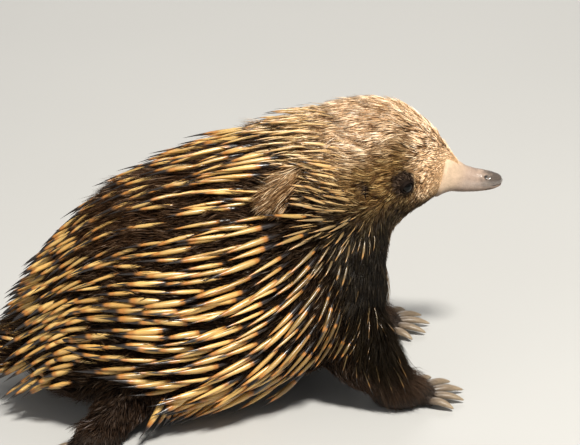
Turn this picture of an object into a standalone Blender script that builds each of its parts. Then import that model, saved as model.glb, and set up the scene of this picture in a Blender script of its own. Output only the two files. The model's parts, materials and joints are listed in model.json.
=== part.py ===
"""A life-size still model of a short-beaked echidna that stands with its head raised.

Metres, +Z up, the beak towards +X and the animal's left side towards +Y. The soles stand on Z = 0.
"""

import math
import random
from dataclasses import dataclass
from functools import partial

import bmesh
import bpy
import numpy as np
from mathutils import Matrix, Vector
from mathutils.bvhtree import BVHTree

UP = Vector((0, 0, 1))
LEFT = Vector((0, 1, 0))
FORWARD = Vector((1, 0, 0))

# Clearances between pieces, and of the spines
GAP = 0.0003
SPINE_CLEARANCE = 0.0006
SEAM_CLEARANCE = 0.0035
FLOOR_CLEARANCE = 0.003

# Spines of the coat
COAT_SEED = 7
SPINE_TRIES = 12000
SPINE_SIDES = 3
SPINE_ROOT_DEPTH = 0.0045
SPINE_SET_BACK = 0.0030
SPINE_THICKEST_AT = 0.45
SPINE_ROOT_SHARE = 0.8
SPINE_BOW = 0.0012
SPINE_SIZES = (0.88, 1.08)
SPINE_WIDTHS = (0.85, 1.10)
TIP_HEIGHTS = (0.75, 1.25)
SHORTENINGS = (1.0, 0.85, 0.7, 0.55)

# How the coat lies
BACK_DROOP = math.radians(8)
CHEST_DROOP = math.radians(52)
HEM_DROOP = math.radians(14)
HEM_FLARE = 0.6
HEM_ANGLES = (1.5, 2.2)
REARWARD = Vector((-1, 0, -0.22))
SLIM_SECTIONS = (5.5, 8.6)
SLIMMEST_LENGTH = 0.58
SLIMMEST_WIDTH = 0.65

# Head
EYE_RADIUS = 0.0045
EYE_PLACE = (0.1395, 0.149)
EYE_SINK = 0.75
ORBIT_RADIUS = 0.0112
ORBIT_CENTRE = 0.0135
LID_RADII = (0.0081, 0.0052)
LID_DEPTH = 0.0032
LID_HEIGHT = 0.0015
EAR_PLACE = (0.110, 0.152)
EAR_SLIT = (0.0028, 0.0045, 0.0075)
EAR_SLIT_SINK = 0.0010
EAR_CUP = (0.0042, 0.0040, 0.0100)
EAR_CUP_BACK = 0.0034
EAR_MOUTH = (0.0046, 0.0075, 0.0086)
EAR_MOUTH_SHIFT = (0.0018, 0.0020)
NOSTRIL_X = 0.2035
NOSTRIL_ANGLE = math.radians(38)
NOSTRIL_SIZE = (0.0017, 0.0008, 0.0011)
NOSTRIL_TURN = 0.35
MOUTH_START = 0.2045
MOUTH_END = 0.2175
MOUTH_DROP = 0.0019
MOUTH_WIDTH = 0.03
MOUTH_GAP = 0.0007

# Tail: a short cone below the rump
TAIL_PATH = (Vector((-0.106, 0, 0.050)), Vector((-0.128, 0, 0.037)), Vector((-0.143, 0, 0.026)))
TAIL_RADII = ((0.020, 0.018), (0.015, 0.013), (0.008, 0.007))
TAIL_SPINE_LENGTH = 0.016
TAIL_SPINE_RADIUS = 0.0016
TAIL_SPINE_RINGS = ((0.0, 5), (0.45, 6), (0.85, 5))
TAIL_SPINE_SPREAD = (0.5, 0.7)

# Legs and feet
LEG_SIDES = 14
TOES = 5
MIDDLE_TOE = 2
TOE_RADII = (0.0044, 0.0036)
TOE_THINNING = 0.05
TOE_LIFT = 0.0012
TOE_SET_IN = 0.35
CLAW_SIDES = 6
CLAW_FLATNESS = 0.75
CLAW_PROFILE = ((0.0, 1.0), (0.3, 1.05), (0.6, 0.85), (0.85, 0.5))

TRUNK_SIDES = 28
BELLY_FULLNESS = 0.82


@dataclass(frozen=True)
class Section:
    """A slice of trunk: X and Z of its belly and back, its half width, and how high up it is widest."""

    belly: tuple
    back: tuple
    half_width: float
    widest_at: float

    def row(self):
        return (*self.belly, *self.back, self.half_width, self.widest_at)


TRUNK = (
    Section((-0.1225, 0.036), (-0.1225, 0.036), 0.000, 0.50),
    Section((-0.1180, 0.020), (-0.1160, 0.060), 0.031, 0.40),
    Section((-0.1070, 0.013), (-0.1000, 0.096), 0.056, 0.34),
    Section((-0.0870, 0.011), (-0.0785, 0.125), 0.077, 0.30),
    Section((-0.0600, 0.010), (-0.0515, 0.147), 0.090, 0.28),
    Section((-0.0250, 0.010), (-0.0180, 0.163), 0.095, 0.28),
    Section((0.0120, 0.011), (0.0140, 0.1735), 0.094, 0.29),
    Section((0.0480, 0.013), (0.0420, 0.182), 0.087, 0.31),
    Section((0.0860, 0.017), (0.0660, 0.190), 0.077, 0.34),
    Section((0.1150, 0.031), (0.0840, 0.197), 0.065, 0.39),
    Section((0.1270, 0.057), (0.0990, 0.201), 0.052, 0.46),
    Section((0.1295, 0.084), (0.1130, 0.203), 0.042, 0.50),
    Section((0.1320, 0.104), (0.1280, 0.202), 0.0365, 0.47),
    Section((0.1420, 0.116), (0.1450, 0.195), 0.0310, 0.44),
    Section((0.1535, 0.1225), (0.1600, 0.1825), 0.0230, 0.43),
    Section((0.1635, 0.1275), (0.1725, 0.167), 0.0142, 0.44),
    Section((0.1738, 0.131), (0.1836, 0.1512), 0.0094, 0.48),
    Section((0.1840, 0.1300), (0.1920, 0.1465), 0.0080, 0.50),
    Section((0.1960, 0.1295), (0.2000, 0.1443), 0.0072, 0.50),
    Section((0.2060, 0.1303), (0.2070, 0.1420), 0.0057, 0.50),
    Section((0.2113, 0.1325), (0.2116, 0.1396), 0.0035, 0.50),
    Section((0.2135, 0.1360), (0.2135, 0.1360), 0.0000, 0.50),
)
TRUNK_TABLE = np.array([section.row() for section in TRUNK])
TRUNK_END = len(TRUNK) - 1
TRUNK_RINGS = (
    *(0.35, 0.8, 1.3, 1.9, 2.6, 3.3, 4.1, 4.9, 5.7, 6.5, 7.3, 8.1, 8.8, 9.5),
    *(10.2, 11.0, 11.6, 12.2, 12.7, 13.2, 13.7, 14.2, 14.7, 15.3, 16.0),
    *(16.7, 17.4, 18.1, 18.7, 19.2, 19.7, 20.2, 20.6),
)
TRUNK_STEP = 0.02


@dataclass(frozen=True)
class Seam:
    """A flat slice across the trunk, given by X and Z of a low and a high point."""

    low: tuple
    high: tuple

    def plane(self):
        """(point, normal towards the beak)."""
        up = Vector((self.high[0] - self.low[0], 0, self.high[1] - self.low[1]))
        return Vector((self.low[0], 0, self.low[1])), LEFT.cross(up).normalized()

    def ahead(self, place):
        """How far a place lies on the beak's side of the seam."""
        point, normal = self.plane()
        return (place - point).dot(normal)


NECK_SEAM = Seam((0.106, 0.030), (0.064, 0.190))
HEAD_SEAM = Seam((0.128, 0.058), (0.084, 0.200))
BEAK_SEAM = Seam((0.1738, 0.131), (0.1836, 0.1512))

# First and last section that each piece of the trunk reaches before its seams are cut
TORSO_STRETCH = (0, 10)
NECK_STRETCH = (7, 11.5)
HEAD_STRETCH = (8.5, 17)
BEAK_STRETCH = (15, TRUNK_END)


@dataclass(frozen=True)
class Finish:
    """Colour and gloss of one material."""

    name: str
    colour: tuple
    roughness: float


COAT = Finish("spiny_coat", (0.16, 0.09, 0.045), 0.8)
FUR = Finish("head_fur", (0.33, 0.19, 0.11), 0.85)
LEG_FUR = Finish("leg_fur", (0.09, 0.055, 0.035), 0.85)
BEAK_SKIN = Finish("beak_skin", (0.36, 0.27, 0.21), 0.45)
EYE_BLACK = Finish("eye", (0.012, 0.010, 0.009), 0.08)
CLAW_HORN = Finish("claw_horn", (0.20, 0.16, 0.12), 0.4)


def catmull_rom(table, s):
    """The row at place s along a table of rows, on a smooth curve through them all."""
    last = len(table) - 1
    s = min(max(s, 0.0), last)
    i = min(int(s), last - 1)
    t = s - i
    before = table[i - 1] if i > 0 else 2 * table[0] - table[1]
    after = table[i + 2] if i + 2 <= last else 2 * table[last] - table[last - 1]
    a, b = table[i], table[i + 1]
    return 0.5 * (
        2 * a
        + (b - before) * t
        + (2 * before - 5 * a + 4 * b - after) * t**2
        + (3 * a - before - 3 * b + after) * t**3
    )


def ease(value, low, high):
    """0 up to low, 1 from high on, and a smooth rise between."""
    share = min(max((value - low) / (high - low), 0.0), 1.0)
    return share * share * (3 - 2 * share)


def trunk_point(s, angle):
    """The trunk's surface at section s. The angle is 0 on the back and grows towards the left side."""
    belly_x, belly_z, back_x, back_z, half_width, widest_at = catmull_rom(TRUNK_TABLE, s)
    up = Vector((back_x - belly_x, 0, back_z - belly_z))
    centre = Vector((belly_x, 0, belly_z)) + up * widest_at
    high, wide = math.cos(angle), math.sin(angle)
    if high > 0:
        return centre + up * (1 - widest_at) * high + LEFT * half_width * wide
    low = widest_at * abs(high) ** BELLY_FULLNESS
    return centre - up * low + LEFT * half_width * math.copysign(abs(wide) ** BELLY_FULLNESS, wide)


def trunk_frame(s, angle):
    """(point, outward normal, direction towards the rump, metres per unit of s) on the trunk's surface."""
    forward = trunk_point(s + TRUNK_STEP, angle) - trunk_point(s - TRUNK_STEP, angle)
    around = trunk_point(s, angle + TRUNK_STEP) - trunk_point(s, angle - TRUNK_STEP)
    normal = forward.cross(around).normalized()
    return trunk_point(s, angle), normal, -forward.normalized(), forward.length / (2 * TRUNK_STEP)


def angle_at_height(s, height):
    """The angle on the left side where the trunk's surface at section s has that Z."""
    low, high = 0.0, math.pi
    for _ in range(40):
        middle = (low + high) / 2
        if trunk_point(s, middle).z > height:
            low = middle
        else:
            high = middle
    return low


def side_frame(place, side):
    """(point, outward normal) of the head's surface at that X and Z, on the side +1 (left) or -1 (right)."""
    x, z = place
    stations = np.linspace(*HEAD_STRETCH, 400)
    s = min(stations, key=lambda station: abs(trunk_point(station, angle_at_height(station, z)).x - x))
    point, normal, _, _ = trunk_frame(s, side * angle_at_height(s, z))
    return point, normal


def material(finish):
    """The Principled material of a finish, made once."""
    made = bpy.data.materials.get(finish.name)
    if made is None:
        made = bpy.data.materials.new(finish.name)
        made.use_nodes = True
        shader = made.node_tree.nodes["Principled BSDF"]
        shader.inputs["Base Color"].default_value = (*finish.colour, 1)
        shader.inputs["Roughness"].default_value = finish.roughness
    return made


def add_object(name, bm, collection, finish=None):
    """A new object from a bmesh, which it frees."""
    bmesh.ops.recalc_face_normals(bm, faces=bm.faces)
    mesh = bpy.data.meshes.new(name)
    bm.to_mesh(mesh)
    bm.free()
    obj = bpy.data.objects.new(name, mesh)
    collection.objects.link(obj)
    if finish:
        mesh.materials.append(material(finish))
    return obj


def loft(rings, start=None, end=None, split=True):
    """A closed bmesh through rings of points, with an end point or a flat cap at each end.

    Its faces are split into triangles alike on every copy, unless they are flat and stay whole.
    """
    bm = bmesh.new()
    loops = [[bm.verts.new(point) for point in ring] for ring in rings]
    for near, far in zip(loops, loops[1:]):
        for k in range(len(near)):
            following = (k + 1) % len(near)
            bm.faces.new((near[k], near[following], far[following], far[k]))
    for loop, pole in ((loops[0], start), (loops[-1], end)):
        if pole is None:
            bm.faces.new(loop)
            continue
        tip = bm.verts.new(pole)
        for k in range(len(loop)):
            bm.faces.new((loop[k], loop[(k + 1) % len(loop)], tip))
    if split:
        bmesh.ops.triangulate(bm, faces=bm.faces, quad_method="FIXED")
    return bm


def ring_about(centre, along, radii, sides, upright=UP):
    """Points of an ellipse across a direction: radii are its half width and its half height."""
    across = along.cross(upright).normalized()
    high = across.cross(along).normalized()
    turns = [2 * math.pi * k / sides for k in range(sides)]
    return [centre + across * radii[0] * math.cos(t) + high * radii[1] * math.sin(t) for t in turns]


def tube(points, radii, sides, upright=UP):
    """A closed bmesh along a path, with (half width, half height) at each point."""
    rings = []
    for i, (point, pair) in enumerate(zip(points, radii)):
        along = points[min(i + 1, len(points) - 1)] - points[max(i - 1, 0)]
        rings.append(ring_about(point, along.normalized(), pair, sides, upright))
    return loft(rings)


def ellipsoid(centre, radii, turn=None, segments=14, rings=9):
    """A closed bmesh of an ellipsoid, turned about its centre."""
    bm = bmesh.new()
    place = Matrix.Translation(centre) @ (turn or Matrix.Identity(4)) @ Matrix.Diagonal((*radii, 1))
    bmesh.ops.create_uvsphere(bm, u_segments=segments, v_segments=rings, radius=1, matrix=place)
    return bm


def frustum(start, end, radii, sides):
    """A closed bmesh of a cut cone from one point to another."""
    bm = bmesh.new()
    along = end - start
    place = Matrix.Translation((start + end) / 2) @ along.to_track_quat("Z", "Y").to_matrix().to_4x4()
    bmesh.ops.create_cone(
        bm,
        cap_ends=True,
        segments=sides,
        radius1=radii[0],
        radius2=radii[1],
        depth=along.length,
        matrix=place,
    )
    return bm


def block(low, high):
    """A closed bmesh of a box between two corners."""
    bm = bmesh.new()
    low, high = Vector(low), Vector(high)
    place = Matrix.Translation((low + high) / 2) @ Matrix.Diagonal((*(high - low), 1))
    bmesh.ops.create_cube(bm, size=1, matrix=place)
    return bm


def slice_plane(bm, point, normal, keep_forward):
    """Cuts a closed bmesh by a plane, keeps one side and closes the cut."""
    found = bmesh.ops.bisect_plane(
        bm,
        geom=bm.verts[:] + bm.edges[:] + bm.faces[:],
        plane_co=point,
        plane_no=normal,
        clear_inner=keep_forward,
        clear_outer=not keep_forward,
    )
    edges = [item for item in found["geom_cut"] if isinstance(item, bmesh.types.BMEdge)]
    bmesh.ops.edgeloop_fill(bm, edges=edges)
    return bm


def keep_largest(obj):
    """Drops every closed surface of the object but the one that holds most."""
    bm = bmesh.new()
    bm.from_mesh(obj.data)
    bmesh.ops.triangulate(bm, faces=bm.faces)
    waiting, shells = set(bm.faces), []
    while waiting:
        shell, edge_of = set(), [waiting.pop()]
        while edge_of:
            face = edge_of.pop()
            shell.add(face)
            near = {other for edge in face.edges for other in edge.link_faces} & waiting
            waiting -= near
            edge_of.extend(near)
        shells.append(shell)

    def volume(shell):
        return sum(f.verts[0].co.dot(f.verts[1].co.cross(f.verts[2].co)) for f in shell)

    shells.sort(key=volume)
    spare = [face for shell in shells[:-1] for face in shell]
    bmesh.ops.delete(bm, geom=spare, context="FACES")
    bm.to_mesh(obj.data)
    bm.free()


def combine(obj, others, operation):
    """Joins or cuts an object by a list of bmeshes with one Boolean, and applies it."""
    tools = bpy.data.collections.new("tools")
    bpy.context.scene.collection.children.link(tools)
    for other in others:
        add_object("tool", other, tools)
    boolean = obj.modifiers.new(operation, "BOOLEAN")
    boolean.operation = operation
    boolean.operand_type = "COLLECTION"
    boolean.collection = tools
    boolean.solver = "EXACT"
    graph = bpy.context.evaluated_depsgraph_get()
    result = bpy.data.meshes.new_from_object(obj.evaluated_get(graph))
    obj.modifiers.remove(boolean)
    result.name = obj.name
    obj.data = result
    for tool in list(tools.objects):
        bpy.data.objects.remove(tool)
    bpy.data.collections.remove(tools)
    keep_largest(obj)
    return obj


def trunk_bmesh(lift=0.0, low=0.0, high=TRUNK_END):
    """The trunk between two sections as one closed surface, raised outwards by lift."""
    turns = [2 * math.pi * k / TRUNK_SIDES for k in range(TRUNK_SIDES)]
    rings = []
    for s in (s for s in TRUNK_RINGS if low <= s <= high):
        frames = [trunk_frame(s, turn) for turn in turns]
        rings.append([frame[0] + frame[1] * lift for frame in frames])
    rump = trunk_point(0, 0) - FORWARD * lift
    tip = trunk_point(TRUNK_END, 0) + FORWARD * lift
    return loft(rings, rump if low == 0 else None, tip if high == TRUNK_END else None)


def trunk_piece(name, stretch, behind, ahead, collection, finish):
    """The trunk between the seams behind and ahead of it, with half the gap left at each."""
    bm = trunk_bmesh(0, *stretch)
    for seam, keep_forward in ((behind, True), (ahead, False)):
        if seam:
            point, normal = seam.plane()
            slice_plane(bm, point + normal * GAP * (0.5 if keep_forward else -0.5), normal, keep_forward)
    return add_object(name, bm, collection, finish)


def eye_frame(side):
    """(centre, outward direction) of an eye."""
    point, normal = side_frame(EYE_PLACE, side)
    return point - normal * EYE_RADIUS * EYE_SINK, normal


def make_eye(side, label, collection):
    """The eyeball."""
    centre, _ = eye_frame(side)
    return add_object(f"eye_{label}", ellipsoid(centre, (EYE_RADIUS,) * 3), collection, EYE_BLACK)


def carve_head(head):
    """Cuts the orbits with their lids, and the ear slits."""
    lids, orbits, cuts = [], [], []
    for side in (-1, 1):
        centre, outward = eye_frame(side)
        orbits.append(ellipsoid(centre + outward * ORBIT_CENTRE, (ORBIT_RADIUS,) * 3, None, 16, 10))
        middle = centre + outward * LID_HEIGHT
        half = outward * LID_DEPTH / 2
        lids.append(frustum(middle - half, middle + half, LID_RADII, 16))
        cuts.append(ellipsoid(centre, (EYE_RADIUS + GAP,) * 3, None, 16, 10))
        cuts.append(ear_slit(side))
    combine(head, orbits, "DIFFERENCE")
    combine(head, lids, "UNION")
    combine(head, cuts, "DIFFERENCE")


def ear_turn(side):
    """The rotation of an ear: its length upright and its opening outwards."""
    _, outward = side_frame(EAR_PLACE, side)
    return outward.to_track_quat("Y", "Z").to_matrix().to_4x4()


def ear_slit(side):
    """The ear opening, sunk into the head."""
    point, outward = side_frame(EAR_PLACE, side)
    return ellipsoid(point - outward * EAR_SLIT_SINK, EAR_SLIT, ear_turn(side), 12, 8)


def make_ear(side, label, collection):
    """The fleshy cup behind the ear slit, seated on the head."""
    point, outward = side_frame(EAR_PLACE, side)
    body = ellipsoid(point - FORWARD * EAR_CUP_BACK, EAR_CUP, ear_turn(side), 14, 10)
    cup = add_object(f"ear_{label}", body, collection, FUR)
    forward_shift, outward_shift = EAR_MOUTH_SHIFT
    mouth = point + FORWARD * forward_shift + outward * outward_shift
    combine(cup, [ellipsoid(mouth, EAR_MOUTH, ear_turn(side), 14, 10), trunk_bmesh(GAP)], "DIFFERENCE")
    return cup


def carve_beak(beak):
    """Cuts the two nostrils and the short mouth slit at the tip."""
    cuts = []
    stations = np.linspace(17, 20, 200)
    s = min(stations, key=lambda station: abs(trunk_point(station, NOSTRIL_ANGLE).x - NOSTRIL_X))
    for side in (-1, 1):
        turn = Matrix.Rotation(-side * NOSTRIL_TURN, 4, "Z")
        cuts.append(ellipsoid(trunk_point(s, side * NOSTRIL_ANGLE), NOSTRIL_SIZE, turn, 8, 6))
    level = trunk_point(TRUNK_END, 0).z - MOUTH_DROP
    half_width, half_gap = MOUTH_WIDTH / 2, MOUTH_GAP / 2
    low, high = (MOUTH_START, -half_width, level - half_gap), (MOUTH_END, half_width, level + half_gap)
    cuts.append(block(low, high))
    combine(beak, cuts, "DIFFERENCE")


@dataclass(frozen=True)
class Limb:
    """A leg, given for the left side: its path and radii from trunk to paw, its paw, toes and claws."""

    name: str
    path: tuple
    radii: tuple
    paw: tuple
    paw_radii: tuple
    heading: float
    toe_spread: float
    toe_reach: float
    claw_lengths: tuple
    claw_width: float
    claw_drop: float


FORELEG = Limb(
    name="foreleg",
    path=((0.072, 0.026, 0.070), (0.094, 0.044, 0.050), (0.112, 0.055, 0.030), (0.129, 0.058, 0.0105)),
    radii=((0.026, 0.028), (0.027, 0.028), (0.0230, 0.0225), (0.0195, 0.0110)),
    paw=(0.130, 0.058, 0.0095),
    paw_radii=(0.0215, 0.0200, 0.0115),
    heading=-6,
    toe_spread=19,
    toe_reach=0.0185,
    claw_lengths=(0.015, 0.020, 0.022, 0.020, 0.015),
    claw_width=0.0033,
    claw_drop=0.0030,
)
HINDLEG = Limb(
    name="hindleg",
    path=((-0.042, 0.040, 0.044), (-0.054, 0.060, 0.032), (-0.067, 0.077, 0.020), (-0.080, 0.087, 0.0105)),
    radii=((0.026, 0.024), (0.024, 0.022), (0.0195, 0.0165), (0.0155, 0.0105)),
    paw=(-0.080, 0.087, 0.0095),
    paw_radii=(0.0205, 0.0155, 0.0110),
    heading=140,
    toe_spread=15,
    toe_reach=0.0165,
    claw_lengths=(0.010, 0.016, 0.020, 0.031, 0.012),
    claw_width=0.0023,
    claw_drop=0.0032,
)


def mirrored(point, side):
    """A left-side point on the side asked for."""
    return Vector((point[0], point[1] * side, point[2]))


def toe_line(limb, toe, side):
    """(root, end, direction, stoutness) of a toe. They fan out from the paw, the middle one stoutest."""
    turn = math.radians(limb.heading + limb.toe_spread * (toe - MIDDLE_TOE))
    along = Vector((math.cos(turn), math.sin(turn) * side, 0))
    paw = mirrored(limb.paw, side)
    stoutness = 1 - TOE_THINNING * abs(toe - MIDDLE_TOE)
    root = Vector((paw.x, paw.y, TOE_RADII[0] * stoutness + TOE_LIFT)) + along * limb.toe_reach * TOE_SET_IN
    return root, root + along * limb.toe_reach, along, stoutness


def make_leg(limb, side, label, collection):
    """A leg from the trunk's side to its flat sole, with its toes, without claws."""
    points = [mirrored(point, side) for point in limb.path]
    body = tube(points, limb.radii, LEG_SIDES, FORWARD)
    leg = add_object(f"{limb.name}_{label}", body, collection, LEG_FUR)
    turn = Matrix.Rotation(math.radians(limb.heading) * side, 4, "Z")
    pieces = [ellipsoid(mirrored(limb.paw, side), limb.paw_radii, turn)]
    for toe in range(TOES):
        root, end, _, stoutness = toe_line(limb, toe, side)
        pieces.append(frustum(root, end, [radius * stoutness for radius in TOE_RADII], 8))
    combine(leg, pieces, "UNION")
    floor = block((-0.3, -0.3, -0.1), (0.3, 0.3, 0))
    combine(leg, [trunk_bmesh(GAP), floor], "DIFFERENCE")
    return leg


def make_claw(limb, toe, side, label, collection):
    """One curved claw, a gap beyond the end of its toe."""
    _, end, along, _ = toe_line(limb, toe, side)
    length = limb.claw_lengths[toe]
    start = end + along * GAP
    rings = []
    for share, width in CLAW_PROFILE:
        centre = start + along * length * share - UP * limb.claw_drop * share**2
        size = (limb.claw_width * width, limb.claw_width * CLAW_FLATNESS * width)
        rings.append(ring_about(centre, along, size, CLAW_SIDES))
    tip = start + along * length - UP * limb.claw_drop
    return add_object(f"{limb.name}_claw_{label}_{toe + 1}", loft(rings, end=tip), collection, CLAW_HORN)


def make_tail(collection):
    """The stub of a tail, seated on the rump."""
    tail = add_object("tail", tube(TAIL_PATH, TAIL_RADII, LEG_SIDES, LEFT), collection, COAT)
    combine(tail, [trunk_bmesh(GAP)], "DIFFERENCE")
    return tail


@dataclass(frozen=True)
class CoatZone:
    """The spines of one stretch of trunk: between which seams they grow, how close, and how they stand."""

    sections: tuple
    behind: Seam
    ahead: Seam
    lowest_angle: float
    spacing_along: float
    spacing_across: float
    length: float
    radius: float
    rise: float


TORSO_COAT = CoatZone(
    sections=(0.30, 9.4),
    behind=None,
    ahead=NECK_SEAM,
    lowest_angle=math.radians(136),
    spacing_along=0.0170,
    spacing_across=0.0073,
    length=0.046,
    radius=0.0023,
    rise=0.0090,
)
NECK_COAT = CoatZone(
    sections=(7.4, 10.6),
    behind=NECK_SEAM,
    ahead=HEAD_SEAM,
    lowest_angle=math.radians(140),
    spacing_along=0.0110,
    spacing_across=0.0080,
    length=0.017,
    radius=0.0013,
    rise=0.0045,
)


def droop(s, angle):
    """How far the coat's lie turns down from level: most on the chest and the hem, none on the back."""
    chest = (BACK_DROOP + CHEST_DROOP * ease(s, 5.5, 10.2)) * ease(abs(angle), 0.3, 1.3)
    hem = HEM_DROOP * ease(abs(angle), *HEM_ANGLES) * ease(s, 1.5, 3.5) * ease(-s, -9, -6)
    return chest + hem


def along_coat(s, angle, distance, steps=4):
    """(point, outward normal) after following the lie of the coat for a distance over the trunk."""
    side = math.copysign(1, angle)
    for _ in range(steps):
        _, _, _, speed = trunk_frame(s, angle)
        turn = droop(s, angle)
        girth = (trunk_point(s, angle + TRUNK_STEP) - trunk_point(s, angle - TRUNK_STEP)).length
        s = max(s - distance / steps * math.cos(turn) / speed, TORSO_COAT.sections[0])
        angle += side * distance / steps * math.sin(turn) / max(girth / (2 * TRUNK_STEP), 0.01)
    point, normal, _, _ = trunk_frame(s, angle)
    return point, normal


def trunk_spine(zone, s, angle, size, height, shortening):
    """(root, thickest point, tip) of a spine that grows at a place on the trunk."""
    point, normal, _, _ = trunk_frame(s, angle)
    length = zone.length * size * shortening
    flat_tip, tip_normal = along_coat(s, angle, length)
    flare = 1 + HEM_FLARE * ease(abs(angle), *HEM_ANGLES)
    tip = flat_tip + tip_normal * zone.rise * flare * height
    rearward = (REARWARD + normal * 0.3).normalized()
    tip = tip.lerp(point + rearward * length * 0.7, ease(-s, -2.4, -0.3))
    along = (tip - point).normalized()
    root = point - normal * SPINE_ROOT_DEPTH - along * SPINE_SET_BACK
    return root, point.lerp(tip, SPINE_THICKEST_AT) + normal * SPINE_BOW, tip


def tail_spine(root, out, shortening):
    """(root, thickest point, tip) of a spine on the tail."""
    tip = root + out * TAIL_SPINE_LENGTH * shortening
    return root - out * SPINE_ROOT_DEPTH, root.lerp(tip, SPINE_THICKEST_AT), tip


def spine(axis, radius, roll):
    """A closed bmesh of one spine of few sides: a narrow root, a thick middle and a point."""
    root, thick, tip = axis
    along = (tip - root).normalized()
    across = along.orthogonal().normalized()
    high = along.cross(across)
    turns = [roll + 2 * math.pi * k / SPINE_SIDES for k in range(SPINE_SIDES)]
    outline = [across * math.cos(turn) + high * math.sin(turn) for turn in turns]
    rings = []
    for centre, size in ((root, radius * SPINE_ROOT_SHARE), (thick, radius)):
        rings.append([centre + spot * size for spot in outline])
    return loft(rings, end=tip, split=False)


def places_on_trunk(zone, draws):
    """Evenly scattered (s, angle) places, staggered so that no spine grows close behind another."""
    places, points = [], np.zeros((0, 3))
    for _ in range(SPINE_TRIES):
        s = draws.uniform(*zone.sections)
        angle = draws.uniform(-zone.lowest_angle, zone.lowest_angle)
        point, _, to_rump, _ = trunk_frame(s, angle)
        if zone.ahead.ahead(point) > -SEAM_CLEARANCE:
            continue
        if zone.behind and zone.behind.ahead(point) < SEAM_CLEARANCE:
            continue
        away = points - np.array(point)
        along = away @ np.array(to_rump)
        across_squared = (away**2).sum(axis=1) - along**2
        if np.all((along / zone.spacing_along) ** 2 + across_squared / zone.spacing_across**2 > 1):
            places.append((s, angle))
            points = np.vstack([points, point])
    return places


def trunk_seeds(zone):
    """(axis for a shortening, radius, roll) of each spine of a zone. The torso's are slimmer at the neck."""
    draws = random.Random(COAT_SEED)
    seeds = []
    for s, angle in places_on_trunk(zone, draws):
        slimming = ease(s, *SLIM_SECTIONS) if zone is TORSO_COAT else 0
        size = draws.uniform(*SPINE_SIZES) * (1 - (1 - SLIMMEST_LENGTH) * slimming)
        radius = zone.radius * draws.uniform(*SPINE_WIDTHS) * (1 - (1 - SLIMMEST_WIDTH) * slimming)
        axis_at = partial(trunk_spine, zone, s, angle, size, draws.uniform(*TIP_HEIGHTS))
        seeds.append((axis_at, radius, draws.uniform(0, 2)))
    return seeds


def tail_seeds():
    """(axis for a shortening, radius, roll) of each of the tail's short spines, in rings."""
    draws = random.Random(COAT_SEED)
    _, start, end = TAIL_PATH
    along = (end - start).normalized()
    seeds = []
    for ring, (share, count) in enumerate(TAIL_SPINE_RINGS):
        radius = TAIL_RADII[1][0] + (TAIL_RADII[2][0] - TAIL_RADII[1][0]) * share
        for k in range(count):
            turn = 2 * math.pi * (k + 0.5 * (ring % 2) + draws.uniform(-0.15, 0.15)) / count
            radial = LEFT * math.cos(turn) + along.cross(LEFT) * math.sin(turn)
            out = (along + radial * draws.uniform(*TAIL_SPINE_SPREAD)).normalized()
            root = start.lerp(end, share) + radial * radius * 0.85
            seeds.append((partial(tail_spine, root, out), TAIL_SPINE_RADIUS, draws.uniform(0, 2)))
    return seeds


def surfaces(objects):
    """One search tree of the surfaces of several pieces."""
    points, faces = [], []
    for obj in objects:
        faces += [[len(points) + index for index in face.vertices] for face in obj.data.polygons]
        points += [v.co.copy() for v in obj.data.vertices]
    return BVHTree.FromPolygons(points, faces)


def is_clear(axis, radius, tree):
    """Whether the free part of a spine keeps its distance from the surfaces in a tree and from the floor."""
    root, thick, tip = axis
    line = [root.lerp(thick, 0.12 + 0.88 * i / 6) for i in range(7)]
    line += [thick.lerp(tip, (i + 1) / 8) for i in range(8)]
    if min(point.z for point in line) < radius + FLOOR_CLEARANCE:
        return False
    return all(tree.find_nearest(point)[3] > radius + SPINE_CLEARANCE for point in line)


def grow(obj, seeds, collection):
    """Grows spines on a node in one union, each shortened or left out where another node is in its way."""
    tree = surfaces([other for other in collection.objects if other is not obj])
    spines = []
    for axis_at, radius, roll in seeds:
        for shortening in SHORTENINGS:
            axis = axis_at(shortening)
            if is_clear(axis, radius, tree):
                spines.append(spine(axis, radius, roll))
                break
    combine(obj, spines, "UNION")


def centre_on_origin(collection):
    """Moves every piece so that the middle of the model's outline stands over the origin."""
    corners = np.array([v.co for obj in collection.objects for v in obj.data.vertices])
    middle = (corners.min(axis=0) + corners.max(axis=0)) / 2
    for obj in collection.objects:
        obj.data.transform(Matrix.Translation((-middle[0], -middle[1], 0)))


def main():
    for obj in list(bpy.data.objects):
        bpy.data.objects.remove(obj)
    animal = bpy.data.collections.new("echidna")
    bpy.context.scene.collection.children.link(animal)
    torso = trunk_piece("torso", TORSO_STRETCH, None, NECK_SEAM, animal, COAT)
    neck = trunk_piece("neck", NECK_STRETCH, NECK_SEAM, HEAD_SEAM, animal, FUR)
    head = trunk_piece("head", HEAD_STRETCH, HEAD_SEAM, BEAK_SEAM, animal, FUR)
    beak = trunk_piece("beak", BEAK_STRETCH, BEAK_SEAM, None, animal, BEAK_SKIN)
    carve_head(head)
    carve_beak(beak)
    tail = make_tail(animal)
    for side, label in ((-1, "right"), (1, "left")):
        make_eye(side, label, animal)
        make_ear(side, label, animal)
        for limb in (FORELEG, HINDLEG):
            make_leg(limb, side, label, animal)
            for toe in range(TOES):
                make_claw(limb, toe, side, label, animal)
    grow(torso, trunk_seeds(TORSO_COAT), animal)
    grow(neck, trunk_seeds(NECK_COAT), animal)
    grow(tail, tail_seeds(), animal)
    centre_on_origin(animal)


main()
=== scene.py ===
"""A still, life-size short-beaked echidna: skin, fur, spines, beak, eyes, ears and claws.

Metres, +Z up, the beak towards +X and the animal's left side towards +Y. Sizes are given from the
body's own drawing, whose X is moved to the frame's when a mesh is made.
"""

from __future__ import annotations

import json
import logging
import math
from collections.abc import Callable, Sequence
from dataclasses import dataclass, field, replace
from enum import Enum

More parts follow.
